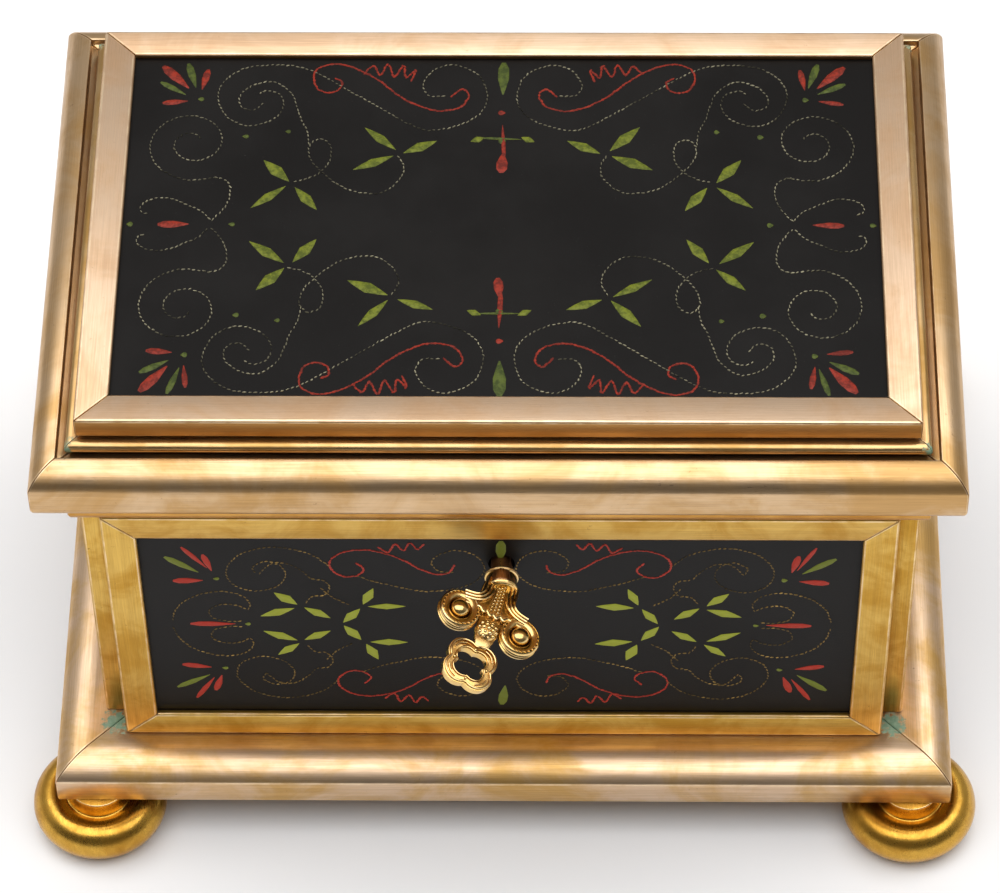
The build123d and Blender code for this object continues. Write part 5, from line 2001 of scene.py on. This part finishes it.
@dataclass
class JewelWell:
    """The velvet-lined well beside the movement, with its piped cushion."""

    effects: Effects
    velvet: Cloth = Cloth(
        "crimson_velvet", (0.20, 0.008, 0.020), (0.085, 0.003, 0.009), 0.78, 0.8, 7000.0, 0.00010
    )
    piping: float = 0.75 * MM
    dent: float = 4.5 * MM

    def cord_round(
        self, name: str, low: Vector, high: Vector, height: float, corner: float
    ) -> bpy.types.Object:
        """Piping round a rectangle with rounded corners.

        Args:
            name: Name of the piece.
            low: Lowest corner of the rectangle.
            high: Highest corner of it.
            height: Height of the piping.
            corner: Radius of its corners.

        Returns:
            The piping, not yet dressed.
        """
        x, y = (low.x, high.x), (low.y, high.y)
        line = []
        for cx, cy, start in ((1, 1, 0), (0, 1, 90), (0, 0, 180), (1, 0, 270)):
            mx = x[cx] + corner * (-1 if cx else 1)
            my = y[cy] + corner * (-1 if cy else 1)
            for turn in (0, 30, 60, 90):
                angle = math.radians(start + turn)
                line.append(Vector((mx + corner * math.cos(angle), my + corner * math.sin(angle), height)))
        return swept(name, [line], self.piping, closed=True)

    def cushion(self, velvet: bpy.types.Material) -> None:
        """Builds the crowned cushion, its piping and two buttons.

        Args:
            velvet: Its material.
        """
        low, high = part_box("well_cushion")
        piece, middle, half = block(low, high, 44)
        aways = [s * half.y * 0.42 for s in (-1, 1)]

        def shape(p: Vector) -> Vector:
            """Crowns the top, pulls the sides in between the corners and dents it at its buttons.

            Args:
                p: Place of a vertex.

            Returns:
                Its new place.
            """
            u, v = p.x, p.y
            pull = 0.97 - 0.035 * (1 - v * v) * abs(u) ** 3
            x = middle.x + u * half.x * pull
            y = middle.y + v * half.y * (0.985 - 0.02 * (1 - u * u) * abs(v) ** 3)
            crown = (1 - abs(u) ** 3.2) * (1 - abs(v) ** 5)
            dent = sum(
                math.exp(-((x - middle.x) ** 2 + (y - middle.y - away) ** 2) / self.dent**2)
                for away in aways
            )
            fold = 0.03 * math.sin(9 * math.atan2(v, u) + 3 * v)
            if p.z > 0:
                share = 0.42 + (0.56 + fold) * crown ** 0.55 - 0.42 * dent
                return Vector((x, y, low.z + max(0.1, min(1.0, share)) * 2 * half.z * p.z + 0.02 * half.z))
            return Vector((x, y, low.z + 0.84 * half.z * (1 + p.z) * 0.5 + 0.02 * half.z))

        piece = smoothed(outward(reshaped(piece, shape)), 60)
        piece.name = "well_cushion_velvet"
        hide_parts("well_cushion")
        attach(piece, Body.CASKET.value)
        dress(piece, velvet, Slot.VELVET)
        places = [
            Matrix.Translation((middle.x, middle.y + away, low.z + 1.12 * half.z))
            @ Matrix.Diagonal((1.0, 1.0, 0.5, 1.0)) for away in aways
        ]
        buttons = copies("well_cushion_buttons", outward(ball(1.9 * MM, 16, 10)), places)
        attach(buttons, Body.CASKET.value)
        dress(buttons, velvet, Slot.VELVET)
        inset = Vector((1.3 * MM, 1.4 * MM, 0.0))
        cord = self.cord_round(
            "well_cushion_piping", low + inset, high - inset, low.z + 0.9 * half.z, 3.0 * MM
        )
        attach(cord, Body.CASKET.value)
        dress(cord, velvet, Slot.VELVET)

    def build(self) -> None:
        """Builds the lining, its rolled edge and the cushion."""
        velvet = self.velvet.material(self.effects)
        lining = finished_node("well_lining", 0.45 * MM, 3)
        dress(lining, velvet, Slot.VELVET)
        low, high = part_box("well_lining")
        inset = Vector((1.5 * MM, 1.5 * MM, 0.0))
        rolled = self.cord_round("well_rolled_edge", low + inset, high - inset, high.z - 0.9 * MM, 2.0 * MM)
        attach(rolled, Body.CASKET.value)
        dress(rolled, velvet, Slot.VELVET)
        self.cushion(velvet)


# ---------------------------------------------------------------- movement and fittings


def slot_of(node: str) -> Slot:
    """The material slot that the record gives a node.

    Args:
        node: Name of a CAD node.

    Returns:
        Its slot.
    """
    for part in frame["record"]["subparts"]:
        if part["node"] == node:
            return Slot(part["material_slot"])
    return Slot.BRASS


@dataclass
class Movement:
    """The pinned cylinder, comb, spring drum, governor and their glass cover."""

    effects: Effects
    seed: int = 21
    pin_radius: float = 0.13 * MM
    pin_reach: float = 0.34 * MM
    teeth: int = 36
    beats: int = 15
    rests: float = 0.35
    worm_turns: int = 6
    worm_height: float = 14.9 * MM
    worm_length: float = 8.4 * MM
    worm_radius: float = 0.95 * MM
    worm_thread: float = 0.12 * MM
    brass: AgedMetal = AgedMetal(
        "movement_brass", (0.78, 0.57, 0.22), (0.66, 0.44, 0.14), (0.26, 0.14, 0.04), 0.24, 70.0, 0.6, 0.25,
        wear=0.5, worn=(0.93, 0.78, 0.45),
    )
    steel: AgedMetal = AgedMetal(
        "polished_steel", (0.52, 0.52, 0.53), (0.40, 0.40, 0.42), (0.10, 0.09, 0.09), 0.22, 90.0, 0.6, 0.2,
        wear=0.5, worn=(0.80, 0.80, 0.82),
    )
    glass: Glass = Glass()

    def pins(self) -> None:
        """Sets the tune's pins into the cylinder, in line with the comb's teeth."""
        low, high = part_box("cylinder")
        comb_low, comb_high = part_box("comb")
        axis = Vector((0.0, (low.y + high.y) / 2, (low.z + high.z) / 2))
        radius = (high.z - low.z) / 2
        chance = random.Random(self.seed)
        step = (comb_high.x - comb_low.x) / self.teeth
        bpy.ops.object.select_all(action="DESELECT")
        bpy.ops.mesh.primitive_cone_add(
            vertices=6, radius1=self.pin_radius, radius2=0.6 * self.pin_radius, depth=2 * self.pin_reach
        )
        pin = bpy.context.object
        places = []
        for tooth in range(self.teeth):
            x = comb_low.x + (tooth + 0.5) * step
            for beat in range(self.beats):
                if chance.random() < self.rests:
                    continue
                angle = 2 * math.pi * (beat + 0.12 + 0.62 * chance.random()) / self.beats
                turn = Matrix.Rotation(angle, 4, "X")
                places.append(
                    Matrix.Translation(Vector((x, 0, 0)) + axis) @ turn @ Matrix.Translation((0, 0, radius))
                )
        piece = copies("cylinder_pins", outward(pin), places)
        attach(piece, Body.CYLINDER.value)
        dress(piece, self.steel.material(self.effects), Slot.STEEL)

    def worm(self, steel: bpy.types.Material) -> None:
        """Winds the fly's fine two-start thread.

        Args:
            steel: Its material.
        """
        low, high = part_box("fly_worm")
        x, y = (low.x + high.x) / 2, (low.y + high.y) / 2
        middle = low.z + self.worm_height
        lines = []
        for start in (0.0, math.pi):
            line = []
            for i in range(self.worm_turns * 8 + 1):
                angle = start + math.pi / 4 * i
                height = middle + (i / (self.worm_turns * 8) - 0.5) * self.worm_length
                line.append(Vector((
                    x + self.worm_radius * math.cos(angle), y + self.worm_radius * math.sin(angle), height
                )))
            lines.append(line)
        piece = swept("fly_worm_thread", lines, self.worm_thread)
        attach(piece, Body.FLY.value)
        dress(piece, steel, Slot.STEEL)

    def build(self) -> None:
        """Builds and dresses the movement."""
        brass = self.brass.material(self.effects)
        steel = self.steel.material(self.effects)
        finishes = {Slot.BRASS: brass, Slot.STEEL: steel}
        for nodes, edge in (
            (("bedplate", "comb_base", "cover_frame"), 0.22 * MM),
            (("drum_bridge", "governor_cock", "movement_brackets", "winding_key", "cylinder"), 0.14 * MM),
            (("bed_screws", "comb_screws", "ratchet_wheel", "click", "stop_rod", "fly_wings"), 0.07 * MM),
            (("comb", "spring_drum", "mainspring", "winding_arbor", "cylinder_arbor", "crown_pinion"), 0.0),
            (("great_wheel", "governor_wheel", "fly_worm"), 0.0),
        ):
            for node in nodes:
                slot = slot_of(node)
                dressed_node(node, finishes[slot], slot, edge)
        self.pins()
        self.worm(steel)
        dressed_node("cover_glass", self.glass.material(self.effects), Slot.GLASS, 0.1 * MM)


@dataclass
class Woodwork:
    """The walnut carcass, boards and battens."""

    effects: Effects
    wood: Wood = Wood()

    def build(self) -> None:
        """Dresses every board."""
        walnut = self.wood.material(self.effects)
        for node in ("carcass", "battens", "floor_board", "partition_boards", "soundboard", "lid_board"):
            dressed_node(node, walnut, Slot.WOOD, 0.3 * MM)


@dataclass
class Fittings:
    """The hinges, the lock and its staple."""

    effects: Effects
    brass: AgedMetal = AgedMetal(
        "fitting_brass", (0.70, 0.47, 0.17), (0.55, 0.33, 0.09), (0.16, 0.08, 0.02), 0.30, 90.0, 0.8, 0.5
    )
    steel: AgedMetal = AgedMetal(
        "fitting_steel", (0.42, 0.41, 0.41), (0.28, 0.27, 0.27), (0.08, 0.06, 0.05), 0.34, 90.0, 0.8, 0.5,
        worn=(0.70, 0.70, 0.71),
    )

    def build(self) -> None:
        """Dresses every fitting."""
        brass = self.brass.material(self.effects)
        steel = self.steel.material(self.effects)
        for node, edge in (
            ("hinge_case_leaves", 0.1), ("hinge_lid_leaves", 0.1), ("lock_case", 0.12), ("lock_cap", 0.12),
            ("lock_staple", 0.12), ("hinge_pins", 0.12), ("staple_screws", 0.06), ("lock_bolt", 0.1),
            ("lock_cam", 0.08),
        ):
            slot = slot_of(node)
            material = steel if slot is Slot.STEEL else brass
            dressed_node(node, material, slot, edge * MM)


def main() -> None:
    """Builds the whole casket, part by part, and the studio round it."""
    effects = make_effects()
    for builder in (
        BronzeWork(effects), PaintedPanels(effects), FrontKey(effects), LidLining(effects),
        JewelWell(effects), Movement(effects), Woodwork(effects), Fittings(effects), Studio(),
    ):
        log.info("building %s", type(builder).__name__)
        builder.build()


if __name__ == "__main__":
    main()
